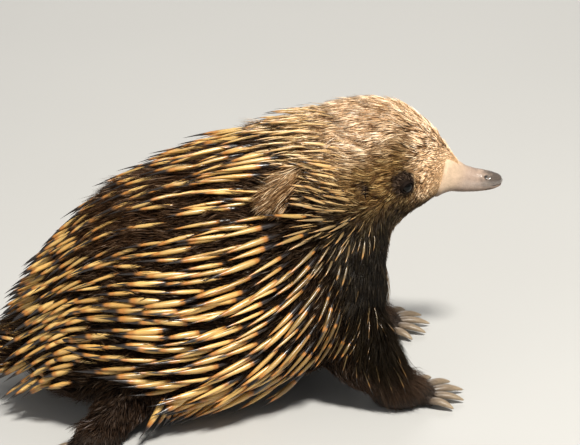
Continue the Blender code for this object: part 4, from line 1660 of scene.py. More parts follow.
@dataclass
class Coat:
    """The hair over the hide, with the ranges in which single hairs differ.

    Each noise field gives the size of its features and where in the noise they are read.
    """

    model: Model
    ground: Ground
    markings: Markings
    materials: dict[str, bpy.types.Material]
    ear_bare_height: float = 0.32
    ear_bare_depth: float = 0.02
    clump_noise: Stretch = (0.0055, 3.0)
    clump_length: float = 0.22
    clump_stand: float = 0.5
    sway_noise: Stretch = (0.009, 9.0)
    sway_drift: float = 0.45
    tone_noise: Stretch = (0.004, 5.0)
    tone_drift: float = 0.35
    hair_lengths: Stretch = (0.72, 1.15)
    hair_stands: Stretch = (0.6, 1.4)
    hair_tones: Stretch = (0.75, 1.30)
    hair_widths: Stretch = (0.7, 1.25)
    eye_length: float = 0.30
    eye_reach: Stretch = (0.0055, 0.018)
    ear_length: float = 0.45
    ear_reach: Stretch = (0.0030, 0.0110)
    # From where to where, in lock sizes from a lock's middle, the painted shade of the gaps sets in.
    lock_gap: Stretch = (0.25, 0.95)
    lock_bend: float = 1.2
    velvet_calm: float = 0.65
    velvet_evenness: float = 0.60
    velvet_slimming: float = 0.42

    def _clear_of_face(self, points: np.ndarray) -> np.ndarray:
        """Which points are off the eyelids and out of the ear slits.

        Args:
            points: Places on the hide.

        Returns:
            A mask.
        """
        clear = np.ones(len(points), bool)
        for side in Side:
            clear &= np.linalg.norm(points - self.model.eyes[side][0], axis=1) > HAIR_FREE_ORBIT
            offset = points - self.model.ears[side][0]
            away = EAR.reach(offset, self.ear_bare_height)
            clear &= (away > 1) | (np.abs(offset[:, 1]) > self.ear_bare_depth)
        return clear

    def _lengths(
        self, fur: Fur, points: np.ndarray, clumps: np.ndarray, draws: np.random.Generator
    ) -> np.ndarray:
        """How long each hair is: longest away from eyes and ears.

        Args:
            fur: The kind of hair.
            points: Its roots.
            clumps: From -1 to 1, how full each hair's clump is.
            draws: The random draws.

        Returns:
            One length for each hair.
        """
        shortest, longest = fur.lengths
        lengths = shortest + (longest - shortest) * fur.long_towards(points)
        lengths *= draws.uniform(*self.hair_lengths, len(points)) * (1 + self.clump_length * clumps)
        for side in Side:
            away = np.linalg.norm(points - self.model.eyes[side][0], axis=1)
            lengths *= self.eye_length + (1 - self.eye_length) * ease(away, *self.eye_reach)
            away = np.linalg.norm(points - self.model.ears[side][0], axis=1)
            lengths *= self.ear_length + (1 - self.ear_length) * ease(away, *self.ear_reach)
        return lengths

    def _axes(self, fur: Fur, roots: Roots, calm: np.ndarray, draws: np.random.Generator) -> np.ndarray:
        """The middle line of each hair, which follows the hide and rises from it.

        Args:
            fur: The kind of hair.
            roots: Where it grows.
            calm: How freely each hair sways.
            draws: The random draws.

        Returns:
            Shape (hairs, stations, 3).
        """
        clumps = cloud(roots.point, *self.clump_noise)
        lengths = self._lengths(fur, roots.point, clumps, draws)
        sway = draws.normal(0, fur.sway, len(roots)) + self.sway_drift * cloud(roots.point, *self.sway_noise)
        sway = sway * calm - fur.turn * np.sign(roots.point[:, 1])
        stations = fur.strand.stations
        points, normals = self.ground.paths(roots, lengths, len(stations) - 1, sway)
        stand = draws.uniform(*self.hair_stands, len(roots)) * (1 + self.clump_stand * clumps)
        shares = np.array(stations)[None]
        heights = (lengths * fur.lift * stand)[:, None] * shares**fur.bend - fur.root_depth * (shares == 0)
        return restation(points, stations) + restation(normals, stations) * heights[..., None]

    def _tones(
        self, fur: Fur, points: np.ndarray, tones: np.ndarray, draws: np.random.Generator
    ) -> np.ndarray:
        """Each hair's tone: its lock's, with a draw of its own, and some hairs far paler, in part as painted
        highlights, and some far darker.

        Args:
            fur: The kind of hair.
            points: Its roots.
            tones: The tone of each hair's lock.
            draws: The random draws.

        Returns:
            One factor for each hair.
        """
        drift = 1 + self.tone_drift * cloud(points, *self.tone_noise)
        tones = tones * (draws.uniform(*self.hair_tones, len(points)) * drift)
        lot = draws.random(len(points))
        tones[lot < fur.pale_share] *= fur.pale_gain
        tones[lot > 1 - fur.dark_share] *= fur.dark_gain
        return 1 + (tones - 1) * (1 - self.velvet_evenness * velvety(points))

    def _tint(self, points: np.ndarray, tones: np.ndarray) -> np.ndarray:
        """The markings' colour of each hair in its own tone."""
        tint = self.markings.tint(points) * np.maximum(tones, 0)[:, None] ** HUE_DRIFT
        return tint / np.maximum(tint.max(axis=1, keepdims=True) / BRIGHTEST_HAIR, 1)

    def grow(self, fur: Fur) -> None:
        """Grows one kind of hair, as one piece on each side.

        Args:
            fur: The kind.
        """
        draws = np.random.default_rng(SEED + len(fur.name))
        density = fur.density * (QUICK_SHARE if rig.quick() else 1.0)
        roots = self.ground.roots(lambda points: density * fur.where(points), draws)
        roots = roots.keep(self._clear_of_face(roots.point))
        velvet = velvety(roots.point)
        calm = 1 - self.velvet_calm * velvet
        axes = self._axes(fur, roots, calm, draws)
        middles = np.flatnonzero(draws.random(len(roots)) < 1 / (density * fur.lock_size**2))
        stretch = np.array(fur.lock_stretch)
        lock, away = nearest_rows(roots.point[middles] * stretch, roots.point * stretch)
        away /= fur.lock_size * math.sqrt(stretch.prod())
        pull = fur.lock_pull * calm[:, None] * np.array(fur.strand.stations)[None] ** self.lock_bend
        axes += (axes[middles[lock]] - axes) * pull[..., None]
        tones = draws.uniform(*fur.lock_tones, len(middles))[lock]
        # Hairs towards a lock's edge are darkened: painted shade in the gaps between locks.
        tones = self._tones(fur, roots.point, tones * (1 - fur.gap_gain * ease(away, *self.lock_gap)), draws)
        slimness = 1 - self.velvet_slimming * velvet
        widths = fur.width * draws.uniform(*self.hair_widths, len(roots)) * slimness
        growth = Growth(axes, roots.normal, widths, self._tint(roots.point, tones), velvet, roots.point)
        for side in Side:
            name = f"{fur.name}_{side.label}"
            mesh = growth.on(side).mesh(fur.strand, self.ground.unwrap, name, self.materials[fur.slot])
            self.model.finish(mesh, name, fur.slot, ())


def restation(rows: np.ndarray, stations: Sequence[float]) -> np.ndarray:
    """Rows given at even shares of each path, read at other shares of it.

    Args:
        rows: Shape (paths, steps + 1, 3).
        stations: The shares wanted.

    Returns:
        Shape (paths, stations, 3).
    """
    places = np.array(stations) * (rows.shape[1] - 1)
    low = np.minimum(places.astype(int), rows.shape[1] - 2)
    share = (places - low)[None, :, None]
    return rows[:, low] * (1 - share) + rows[:, low + 1] * share


@dataclass(frozen=True)
class Quills:
    """One kind of spine: where it grows, how close, how long and thick, and how it stands."""

    name: str
    where: Callable[[np.ndarray], np.ndarray]
    spacing_along: float
    spacing_across: float
    lengths: Stretch
    radius: float
    rise: float
    strand: Strand
    tint: Colour
    tint_spread: float = 0.6
    slimming: float = 0.35
    sway: float = 0.07
    radius_shares: Stretch = (0.55, 1.14)
    finish: SpineFinish = SpineFinish()


@dataclass
class SpineCoat:
    """The spines over the hide."""

    model: Model
    ground: Ground
    root_depth: float = 0.002
    bow: float = 0.0022
    rump_lean: Stretch = (0.45, 0.92)
    rump_reach: float = 0.70
    rump_room: float = 0.05
    rump_slimming: float = 0.12
    shoulder_stretch: float = 0.24
    shoulder_light: float = 0.75
    throat_shade: float = 0.80
    nape_rise: float = 0.7
    hem_rise: float = 0.6
    back_room: float = 0.50
    back_slimming: float = 0.22
    shortenings: tuple[float, ...] = (1.0, 0.85, 0.7, 0.55)
    candidates: float = 350_000.0
    ochre: Colour = (0.48, 0.235, 0.045)

    def _spaced(self, roots: Roots, quills: Quills) -> np.ndarray:
        """The numbers of roots that keep the spacing along and across the coat."""
        ways = self.ground.lie.way(roots.point, roots.normal)
        room = 1 + self.rump_room * ease(-roots.normal[:, 0], 0.3, 0.8)
        room += self.back_room * ease(roots.normal[:, 2], 0.40, 0.80) * fade(roots.point[:, 0], 0.0, 0.050)
        kept = np.zeros((0, 3))
        chosen = []
        for k in range(len(roots)):
            away = (kept - roots.point[k]) / room[k]
            along = away @ ways[k]
            across = np.maximum((away**2).sum(1) - along**2, 0)
            if np.all((along / quills.spacing_along) ** 2 + across / quills.spacing_across**2 > 1):
                kept = np.vstack((kept, roots.point[k]))
                chosen.append(k)
        return np.array(chosen)

    def _is_clear(self, axes: np.ndarray, radii: np.ndarray) -> np.ndarray:
        """Which spines keep above the floor and out of the hide beyond their first third."""
        clear = axes[:, 1:, 2].min(1) > radii + 0.001
        late = axes[:, axes.shape[1] // 3 :]
        for k in np.flatnonzero(clear):
            for point in late[k]:
                spot, normal, _, _ = self.ground.tree.find_nearest(point)
                if (Vector(point) - spot).dot(normal) < 0.0005:
                    clear[k] = False
                    break
        return clear

    def _axes(
        self, roots: Roots, lengths: np.ndarray, rises: np.ndarray, sway: np.ndarray, strand: Strand
    ) -> np.ndarray:
        """The middle line of each spine, slightly bowed."""
        points, normals = self.ground.paths(roots, lengths, 4, sway)
        tips = points[:, -1] + normals[:, -1] * rises[:, None]
        lean = ease(-roots.normal[:, 0], *self.rump_lean)
        rearward = unit(np.array((-0.82, 0.0, -0.66)) + roots.normal * 0.34)
        tips = blend(tips, roots.point + rearward * (lengths * self.rump_reach)[:, None], lean)
        shares = np.array(strand.stations)[None, :, None]
        start = roots.point - roots.normal * self.root_depth
        axes = start[:, None] * (1 - shares) + tips[:, None] * shares
        return axes + roots.normal[:, None] * (4 * self.bow * shares * (1 - shares))

    def grow(self, quills: Quills) -> None:
        """Grows one kind of spine, as one piece on each side.

        Args:
            quills: The kind.
        """
        draws = np.random.default_rng(SEED + len(quills.name))
        roots = self.ground.roots(lambda points: self.candidates * quills.where(points), draws)
        roots = roots.keep(draws.permutation(len(roots)))
        roots = roots.keep(self._spaced(roots, quills))
        count = len(roots)
        x, _, z = roots.point.T
        slim = ease(x, 0.030, 0.100) * fade(z, 0.125, 0.160)
        shoulder = ease(x, -0.005, 0.040) * (quills.radius > 0.002)
        lengths = draws.uniform(*quills.lengths, count) * (1 - (quills.slimming + 0.07) * slim)
        lengths *= 1 + self.shoulder_stretch * shoulder
        radii = quills.radius * draws.uniform(*quills.radius_shares, count) * (1 - quills.slimming * slim)
        radii *= 1 - self.rump_slimming * fade(x, -0.105, -0.050)
        radii *= 1 - self.back_slimming * ease(roots.normal[:, 2], 0.4, 0.8)
        nape = ease(z, 0.180, 0.196) * ease(x, 0.040, 0.065)
        gain = 1 + self.hem_rise * fade(z, 0.025, 0.060) + self.nape_rise * nape
        rises = quills.rise * draws.uniform(0.6, 1.3, count) * gain
        sway = draws.normal(0, quills.sway, count)
        axes = np.zeros((count, len(quills.strand.stations), 3))
        standing = np.zeros(count, bool)
        for shortening in self.shortenings:
            trial = self._axes(roots, lengths * shortening, rises, sway, quills.strand)
            good = ~standing & self._is_clear(trial, radii)
            axes[good] = trial[good]
            standing |= good
        tint = tile(quills.tint, count)
        tint = blend(tint, self.ochre, draws.random(count) ** 1.5 * quills.tint_spread)
        tint *= draws.uniform(0.72, 1.16, count)[:, None]
        shaded = fade(z, 0.122, 0.160) * ease(x, 0.050, 0.085)
        tint *= 1 - self.throat_shade * shaded[:, None]
        shade = draws.random(count) - self.shoulder_light * shoulder
        growth = Growth(axes, roots.normal, radii, tint, shade, roots.point).keep(standing)
        material = quills.finish.material()
        for side in Side:
            name = f"{quills.name}_{side.label}"
            mesh = growth.on(side).mesh(quills.strand, self.ground.unwrap, name, material)
            self.model.finish(mesh, name, "spiny_coat", ())


def spiny_zone(points: np.ndarray) -> np.ndarray:
    """Where the large spines grow: the trunk behind the neck, without the belly."""
    x, y, z = points.T
    hem = 0.022 + 0.05 * fade(np.abs(y), 0.03, 0.06) * ease(x, -0.115, -0.090)
    bare = (TUFT.bare(points) > 0.5) | (TUFT.near(points) < 1.3)
    on_leg = (near_leg(points) > 0.12) & (z < 0.056)
    return 1.0 * ((NECK_SEAM.ahead(points) < -0.002) & (z > hem) & (x > -0.1235) & ~bare & ~on_leg)


def chest_zone(points: np.ndarray) -> np.ndarray:
    """Where the thin pale spines of the chest grow."""
    behind = (NECK_SEAM.ahead(points) > -0.010) & (HEAD_SEAM.ahead(points) < 0.004)
    close = (1 - 0.97 * ease(NECK_SEAM.ahead(points), 0.002, 0.026)) ** 2
    return close * (behind & (points[:, 2] > 0.040) & (points[:, 2] < 0.118))


def nape_zone(points: np.ndarray) -> np.ndarray:
    """Where the straw-coloured spines of the neck grow, fewest at the back of the head."""
    ahead = NECK_SEAM.ahead(points)
    behind = (ahead > -0.006) & (ahead < 0.027) & (points[:, 2] >= 0.112) & (TUFT.near(points) > 1)
    low = fade(points[:, 2], 0.115, 0.140) * ease(ahead, 0.004, 0.016)
    return behind * (1 - 0.75 * ease(ahead, 0.008, 0.027)) * (1 - 0.97 * low) ** 2


def bristle_zone(points: np.ndarray) -> np.ndarray:
    """Where fine bristles stand between the neck's spines and the hair of the head."""
    ahead = NECK_SEAM.ahead(points)
    return 1.0 * ((ahead > 0.002) & (ahead < 0.034) & (points[:, 2] >= 0.128) & (TUFT.near(points) > 1))


def tail_zone(points: np.ndarray) -> np.ndarray:
    """The stub of the tail."""
    return 1.0 * (points[:, 0] < -0.1235)


def body_zone(points: np.ndarray) -> np.ndarray:
    """The trunk behind the neck, without the belly."""
    return (NECK_SEAM.ahead(points) < 0.004) * (points[:, 2] > 0.018)


def rear_body(points: np.ndarray) -> np.ndarray:
    """The rear half of the trunk."""
    return body_zone(points) * (points[:, 0] < -0.035)


def front_body(points: np.ndarray) -> np.ndarray:
    """The front half of the trunk."""
    return body_zone(points) * (points[:, 0] >= -0.035)


def neck_zone(points: np.ndarray) -> np.ndarray:
    """The neck, from the shoulders to the back of the head."""
    between = (NECK_SEAM.ahead(points) >= 0.002) & (HEAD_SEAM.ahead(points) < 0.004)
    return 1.0 * (between & (points[:, 2] > 0.085))


def chest_fur_zone(points: np.ndarray) -> np.ndarray:
    """The chest and throat below the neck."""
    low = points[:, 2] <= 0.085 + 0.01 * ease(points[:, 0], 0.11, 0.125)
    return 1.0 * ((NECK_SEAM.ahead(points) >= 0.002) & low & (points[:, 2] > 0.020))


def head_zone(points: np.ndarray) -> np.ndarray:
    """The head behind the beak, closest at the beak, where the hair is short."""
    ahead = past_fur(points)
    closeness = (1.6 - 0.6 * ease(-ahead, 0.0, 0.030)) * ease(-ahead, -0.0010, 0.0025)
    from_eye = np.hypot(points[:, 0] - EYE.place[0], points[:, 2] - EYE.place[1])
    closeness = closeness + 0.6 * fade(from_eye, 0.008, 0.013)
    return closeness * ((HEAD_SEAM.ahead(points) >= 0.002) & (points[:, 2] > 0.085))


def foot_zone(points: np.ndarray) -> np.ndarray:
    """The feet and the underside near the floor."""
    low = (points[:, 2] <= 0.020) & (points[:, 2] > 0.0012)
    return 1.0 * (low & (points[:, 0] > -0.1235))


def from_beak(points: np.ndarray) -> np.ndarray:
    """0 at the beak's base and 1 at the back of the head."""
    return ease(-past_fur(points), 0.0, 0.050)


@dataclass(frozen=True)
class ShoulderTuft:
    """The long tuft behind each shoulder: a band from high on the shoulder, down and back."""

    start: Stretch = (0.067, 0.169)
    end: Stretch = (0.052, 0.158)
    half_width: float = 0.0048
    turn: float = math.radians(40)
    shade_centre: Stretch = (0.065, 0.149)
    shade_size: Stretch = (0.012, 0.0085)

    def near(self, points: np.ndarray) -> np.ndarray:
        """How far each point lies from the band's middle line, in half widths."""
        start, end = np.array(self.start), np.array(self.end)
        along = end - start
        away = points[:, ::2] - start
        share = np.clip(away @ along / (along @ along), 0, 1)
        return np.linalg.norm(away - share[:, None] * along, axis=1) / self.half_width

    def bare(self, points: np.ndarray) -> np.ndarray:
        """1 in the dark hollow below the tuft, where no spine grows, and 0 away from it."""
        away = (points[:, ::2] - np.array(self.shade_centre)) / np.array(self.shade_size)
        return ease(-np.linalg.norm(away, axis=1), -1.0, -0.7)


TUFT = ShoulderTuft()


def shoulder_zone(points: np.ndarray) -> np.ndarray:
    """Where the shoulder tufts grow."""
    return 1.0 * (TUFT.near(points) < 1)


def everywhere(points: np.ndarray) -> np.ndarray:
    """1 all over."""
    return np.ones(len(points))


def up_the_back(points: np.ndarray) -> np.ndarray:
    """0 on the flanks and 1 on the back and the rump, where the hair is longest."""
    return np.maximum(ease(points[:, 2], 0.090, 0.160), fade(points[:, 0], -0.115, -0.060))


def down_the_chest(points: np.ndarray) -> np.ndarray:
    """0 high on the neck and 1 low on the chest."""
    return fade(points[:, 2], 0.07, 0.17)


RUMP_HAIR = Fur(
    name="fur_rump",
    slot="spiny_coat",
    where=rear_body,
    density=420_000,
    lengths=(0.009, 0.019),
    long_towards=up_the_back,
    width=0.00040,
    lift=0.40,
    bend=0.9,
    sway=0.26,
    pale_share=0.14,
    pale_gain=2.8,
    lock_tones=(0.45, 1.60),
)
FLANK_HAIR = replace(
    RUMP_HAIR, name="fur_flank", where=front_body, density=385_000, lengths=(0.008, 0.016), lift=0.34
)
NECK_HAIR = Fur(
    name="fur_neck",
    slot="head_fur",
    where=neck_zone,
    density=900_000,
    lengths=(0.015, 0.020),
    long_towards=down_the_chest,
    width=0.00038,
    lift=0.24,
    pale_share=0.25,
    dark_share=0.25,
    dark_gain=0.30,
    lock_size=0.0024,
    lock_tones=(0.25, 1.70),
    lock_stretch=(0.34, 1.0, 1.0),
)
CHEST_HAIR = Fur(
    name="fur_chest",
    slot="spiny_coat",
    where=chest_fur_zone,
    density=560_000,
    lengths=(0.014, 0.022),
    long_towards=down_the_chest,
    width=0.00040,
    lift=0.22,
    lock_size=0.0026,
    lock_stretch=(1.0, 1.0, 0.45),
)
HEAD_HAIR = Fur(
    name="fur_head",
    slot="head_fur",
    where=head_zone,
    density=1_150_000,
    lengths=(0.0034, 0.0168),
    long_towards=from_beak,
    width=0.00032,
    lift=0.22,
    strand=SHORT_HAIR,
    bend=0.75,
    pale_share=0.25,
    pale_gain=1.6,
    dark_share=0.20,
    dark_gain=0.35,
    lock_size=0.0021,
    lock_tones=(0.38, 1.62),
    lock_stretch=(0.36, 1.0, 0.8),
)
FOOT_HAIR = Fur(
    name="fur_feet",
    slot="leg_fur",
    where=foot_zone,
    density=380_000,
    lengths=(0.0045, 0.007),
    long_towards=everywhere,
    width=0.00040,
    lift=0.25,
    strand=SHORT_HAIR,
    lock_stretch=(1.0, 1.0, 0.6),
)
SHOULDER_HAIR = Fur(
    name="fur_shoulder",
    slot="spiny_coat",
    where=shoulder_zone,
    density=3_200_000,
    lengths=(0.018, 0.026),
    long_towards=everywhere,
    width=0.00036,
    lift=0.34,
    turn=TUFT.turn,
    sway=0.17,
    pale_share=0.25,
    pale_gain=2.3,
    dark_share=0.30,
    lock_size=0.0018,
    lock_tones=(0.30, 1.80),
)
FURS = (RUMP_HAIR, FLANK_HAIR, NECK_HAIR, CHEST_HAIR, HEAD_HAIR, FOOT_HAIR, SHOULDER_HAIR)

PALE_STRAW = (0.64, 0.435, 0.200)
BODY_SPINES = Quills(
    name="spines_body",
    where=spiny_zone,
    spacing_along=0.0127,
    spacing_across=0.0055,
    lengths=(0.038, 0.052),
    radius=0.0023,
    rise=0.0095,
    strand=LONG_SPINE,
    tint=(0.63, 0.405, 0.135),
)
NECK_SPINES = Quills(
    name="spines_neck",
    where=nape_zone,
    spacing_along=0.0088,
    spacing_across=0.0036,
    lengths=(0.028, 0.042),
    radius=0.00125,
    rise=0.0080,
    strand=LONG_SPINE,
    tint=PALE_STRAW,
    tint_spread=0.4,
    slimming=0.30,
    radius_shares=(0.50, 1.20),
    finish=SpineFinish(
        "spine_horn_neck", amber=(0.40, 0.21, 0.070), light_from=(0.02, 0.16), light_to=(0.55, 0.90)
    ),
)
NAPE_BRISTLES = Quills(
    name="bristles_nape",
    where=bristle_zone,
    spacing_along=0.0065,
    spacing_across=0.0027,
    lengths=(0.018, 0.028),
    radius=0.00042,
    rise=0.0062,
    strand=THIN_SPINE,
    tint=PALE_STRAW,
    tint_spread=0.5,
    slimming=0.0,
    finish=NECK_SPINES.finish,
)
CHEST_SPINES = Quills(
    name="spines_chest",
    where=chest_zone,
    spacing_along=0.0092,
    spacing_across=0.0037,
    lengths=(0.024, 0.034),
    radius=0.00042,
    rise=0.0045,
    strand=THIN_SPINE,
    tint=(0.44, 0.290, 0.095),
    tint_spread=0.8,
    slimming=0.0,
    finish=SpineFinish(
        "spine_horn_chest", amber=(0.22, 0.11, 0.030), light_from=(0.10, 0.34), light_to=(0.55, 0.90)
    ),
)
TAIL_SPINES = replace(
    BODY_SPINES,
    name="spines_tail",
    where=tail_zone,
    spacing_along=0.0090,
    spacing_across=0.0050,
    lengths=(0.013, 0.018),
    radius=0.0013,
    rise=0.0060,
)
QUILLS = (BODY_SPINES, NECK_SPINES, NAPE_BRISTLES, CHEST_SPINES, TAIL_SPINES)


@dataclass
class Beak:
    """The bare beak, with nostrils, mouth and the raised edge where the fur begins."""

    model: Model
    finish: BeakFinish = BeakFinish()
    palette: Palette = Palette()
    stretch: Stretch = (14.3, 21.0)
    rings: int = 210
    sides: int = 96
    edge_at: float = 16.05
    edge_draws_back: float = 0.85
    emerging: float = 0.45
    edge_height: float = 0.00015
    edge_width: float = 0.14
    tuck: float = 0.0030
    nostril_x: float = 0.2005
    nostril_angle: float = math.radians(54)
    nostril_size: Stretch = (0.00200, 0.00095)
    nostril_depth: float = 0.0016
    mouth_x: float = 0.2045
    mouth_drop: float = 0.0019
    mouth_depth: float = 0.0007
    mouth_half: float = 0.00032

    def _offsets(self, s: np.ndarray, angle: np.ndarray, frames: Frames) -> np.ndarray:
        """How far the detailed surface stands out from the plain form."""
        turn = np.abs((angle + math.pi) % (2 * math.pi) - math.pi)
        edge = self.edge_at - self.edge_draws_back * ease(turn, 0.35, 0.95)
        ridge = self.edge_height * bell(s - edge - 0.08, self.edge_width)
        offsets = ridge - self.tuck * (1 - ease(s, edge - self.emerging, edge))
        for side in Side:
            away = frames.point - self._nostril(side)
            along = (away * frames.forward).sum(1) / self.nostril_size[0]
            across = (away * frames.around).sum(1) / self.nostril_size[1]
            reach = np.sqrt(along**2 + across**2)
            offsets -= self.nostril_depth * np.exp(-(reach**3))
            offsets += 0.00012 * bell(reach - 1.7, 0.5)
        x = frames.point[:, 0]
        level = frames.point[:, 2] - (BEAK_TIP[2] - self.mouth_drop)
        slit = self.mouth_depth * bell(level, self.mouth_half) * ease(x, self.mouth_x - 0.001, self.mouth_x)
        lip = 0.00015 * bell(level + 0.0010, 0.0005) * ease(x, self.mouth_x, self.mouth_x + 0.004)
        return offsets + (lip - slit) * fade(x, BEAK_TIP[0] - 0.0020, BEAK_TIP[0] - 0.0006)

    def _nostril(self, side: Side) -> np.ndarray:
        """The middle of a nostril on the plain form."""
        stations = np.linspace(17, 20, 400)
        line = self.model.trunk.point(stations, np.full(400, self.nostril_angle * side.value))
        return line[np.abs(line[:, 0] - self.nostril_x).argmin()]

    def _openings(self, points: np.ndarray) -> np.ndarray:
        """1 inside the nostrils and the mouth's line, where shade is painted, and 0 away from them."""
        dark = np.zeros(len(points))
        for side in Side:
            away = np.hypot(*(points - self._nostril(side))[:, ::2].T)
            near = np.sign(points[:, 1]) == side.value
            dark = np.maximum(dark, near * fade(away, 0.0009, 0.0017))
        level = np.abs(points[:, 2] - (BEAK_TIP[2] - self.mouth_drop))
        line = fade(level, 0.0001, 0.0003) * ease(points[:, 0], self.mouth_x, self.mouth_x + 0.001)
        return np.maximum(dark, line)

    def _tint(self, s: np.ndarray, angle: np.ndarray, points: np.ndarray) -> np.ndarray:
        """The beak's colours: tan, darker below with painted shade, near-black at the tip, and painted shade in its
        openings.
        """
        tint = tile(self.palette.beak_base, len(points))
        tint = blend(tint, self.palette.crown, fade(s, 15.2, 16.8) * 0.45)
        # Darker on the underside: its own brown, deepened as painted shade.
        below = ease(-np.cos(angle), 0.15, 0.80)
        tint = blend(tint, self.palette.beak_under, below * 0.9)
        wander = 0.6 * cloud(points, 0.003, 2.0)
        tip = ease(s + wander, 17.2, 18.9) * ease(np.cos(angle), -0.75, 0.1)
        tint = blend(tint, self.palette.beak_tip, tip * 0.88)
        # Painted shade in the nostrils and the mouth's slit.
        return blend(tint, self.palette.opening, self._openings(points))

    def build(self) -> bpy.types.Object:
        """The beak as one piece."""
        trunk = self.model.trunk

        def surface(s: np.ndarray, angle: np.ndarray) -> np.ndarray:
            """The detailed surface, whose last ring is the tip."""
            frames = trunk.frames(s, angle)
            points = frames.point + frames.normal * self._offsets(s, angle, frames)[:, None]
            return np.where((s > self.stretch[1] - 1e-3)[:, None], BEAK_TIP + FORWARD * 0.0002, points)

        bm = wrapped(surface, self.stretch, self.rings, self.sides)
        mesh = to_mesh(bm, "beak", self.finish.material())
        points = coordinates(mesh)
        s, angle = self._places(points)
        set_tint(mesh, self._tint(s, angle, points))
        set_value(mesh, "along", ease(s, 15.9, 17.2) * ease(np.cos(angle), -0.6, 0.2))
        return self.model.finish(mesh, "beak_hide", "beak_skin", ("beak",))

    def _places(self, points: np.ndarray) -> tuple[np.ndarray, np.ndarray]:
        """The nearest s and angle of the plain form for each point."""
        s, angle = np.meshgrid(np.linspace(*self.stretch, 140), np.linspace(-math.pi, math.pi, 96))
        nearest, _ = nearest_rows(self.model.trunk.point(s.ravel(), angle.ravel()), points)
        return s.ravel()[nearest], angle.ravel()[nearest]


@dataclass
class Lids:
    """The eyelids: a low mound round each eye with an almond opening."""

    model: Model
    profile: tuple[Stretch, ...] = (
        (0.0029, 0.0014),
        (0.0031, 0.0032),
        (0.0034, 0.0034),
        (0.0037, 0.0033),
        (0.0042, 0.0028),
        (0.0047, 0.0019),
        (0.0051, 0.0010),
        (0.0048, 0.0000),
        (0.0038, -0.0006),
        (0.0029, 0.0014),
    )
    length_share: float = 1.32
    height_share: float = 0.92
    tilt: float = math.radians(24)
    wrinkle: float = 0.00015
    skin: Colour = (0.011, 0.0070, 0.0055)
    rim: Colour = (0.020, 0.0140, 0.0115)

    def build(self, material: bpy.types.Material) -> None:
        """Both eyes' lids.

        Args:
            material: Their skin.
        """
        table = np.array(self.profile)
        for side in Side:
            centre, outward = self.model.eyes[side]
            level, upright = tangents(outward)
            along = level * math.cos(self.tilt) + upright * math.sin(self.tilt)
            high = upright * math.cos(self.tilt) - level * math.sin(self.tilt)

            def surface(s: np.ndarray, angle: np.ndarray) -> np.ndarray:
                """The lid's surface: s runs from the rim outwards and back under."""
                radius, height = catmull_rom(table, s).T
                tight = np.clip(1 - (radius - 0.0028) / 0.0060, 0, 1)
                wide = radius * (1 + (self.length_share - 1) * tight)
                tall = radius * (1 + (self.height_share - 1) * tight)
                fold = self.wrinkle * np.sin(7 * angle + 3 * s) * ease(s, 2.5, 4.0) * fade(s, 5.5, 6.5)
                corner = 0.0006 * np.cos(angle) ** 2 * tight
                across = along * (wide * np.cos(angle))[:, None] + high * (tall * np.sin(angle))[:, None]
                return centre + across + outward * (height + fold - corner)[:, None]

            mesh = to_mesh(wrapped(surface, (0, len(table) - 1), 60, 56), "lids", material)
            points = coordinates(mesh)
            away = np.linalg.norm(np.cross(points - centre, outward), axis=1)
            tint = blend(tile(self.skin, len(points)), self.rim, 0.7 * bell(away - 0.0036, 0.0005))
            set_tint(mesh, tint)
            self.model.finish(mesh, f"eyelids_{side.label}", "head_fur", ())


@dataclass
class Eyes:
    """The two eyeballs."""

    model: Model
    finish: EyeFinish = EyeFinish()
    radius: float = 0.0045
    segments: int = 40
    rings: int = 26

    def build(self) -> None:
        """Both eyes, each with its iris turned outwards."""
        material = self.finish.material()
        for side in Side:
            centre, outward = self.model.eyes[side]
            bm = bmesh.new()
            bmesh.ops.create_uvsphere(bm, u_segments=self.segments, v_segments=self.rings, radius=self.radius)
            facing = np.array([vert.co.z for vert in bm.verts]) / self.radius
            turn = Vector(outward).to_track_quat("Z", "Y").to_matrix().to_4x4()
            bmesh.ops.transform(bm, matrix=Matrix.Translation(Vector(centre)) @ turn, verts=bm.verts)
            mesh = to_mesh(bm, "eye", material)
            set_value(mesh, "along", np.maximum(facing, 0))
            self.model.finish(mesh, f"eyeball_{side.label}", "eye", (f"eye_{side.label}",))


@dataclass
class Ears:
    """The fleshy rims of the ear slits, tallest behind, near black as painted shade of the slits."""

    model: Model
    tube: float = 0.0010
    rise: float = 0.0012
    sink: float = 0.0060
    width_share: float = 0.50
    # Near black: painted shade of the ear slit.
    skin: Colour = (0.006, 0.004, 0.003)

    def build(self, material: bpy.types.Material) -> None:
        """Both ears.

        Args:
            material: Their skin.
        """
        for side in Side:
            centre, outward = self.model.ears[side]
            along, high = tangents(outward)

            def surface(s: np.ndarray, angle: np.ndarray) -> np.ndarray:
                """The rim: s runs round its thickness, the angle round the slit."""
                back = ease(-np.cos(angle), -0.2, 0.9)
                turn = s * 2 * math.pi
                wide = EAR.half_width * self.width_share + self.tube * np.cos(turn)
                tall = EAR.half_height + self.tube * np.cos(turn)
                out = self.tube * np.sin(turn) * (1 + 0.8 * back) - self.sink + self.rise * back
                lean = 0.0010 * back * ease(np.sin(turn), 0, 1)
                across = along * ((wide + 0.001 * back) * np.cos(angle) + lean)[:, None]
                return centre + across + high * (tall * np.sin(angle))[:, None] + outward * out[:, None]

            mesh = to_mesh(wrapped(surface, (0, 1), 20, 56), "ear", material)
            set_tint(mesh, tile(self.skin, len(mesh.vertices)))
            self.model.finish(mesh, f"ear_rim_{side.label}", "head_fur", (f"ear_{side.label}",))


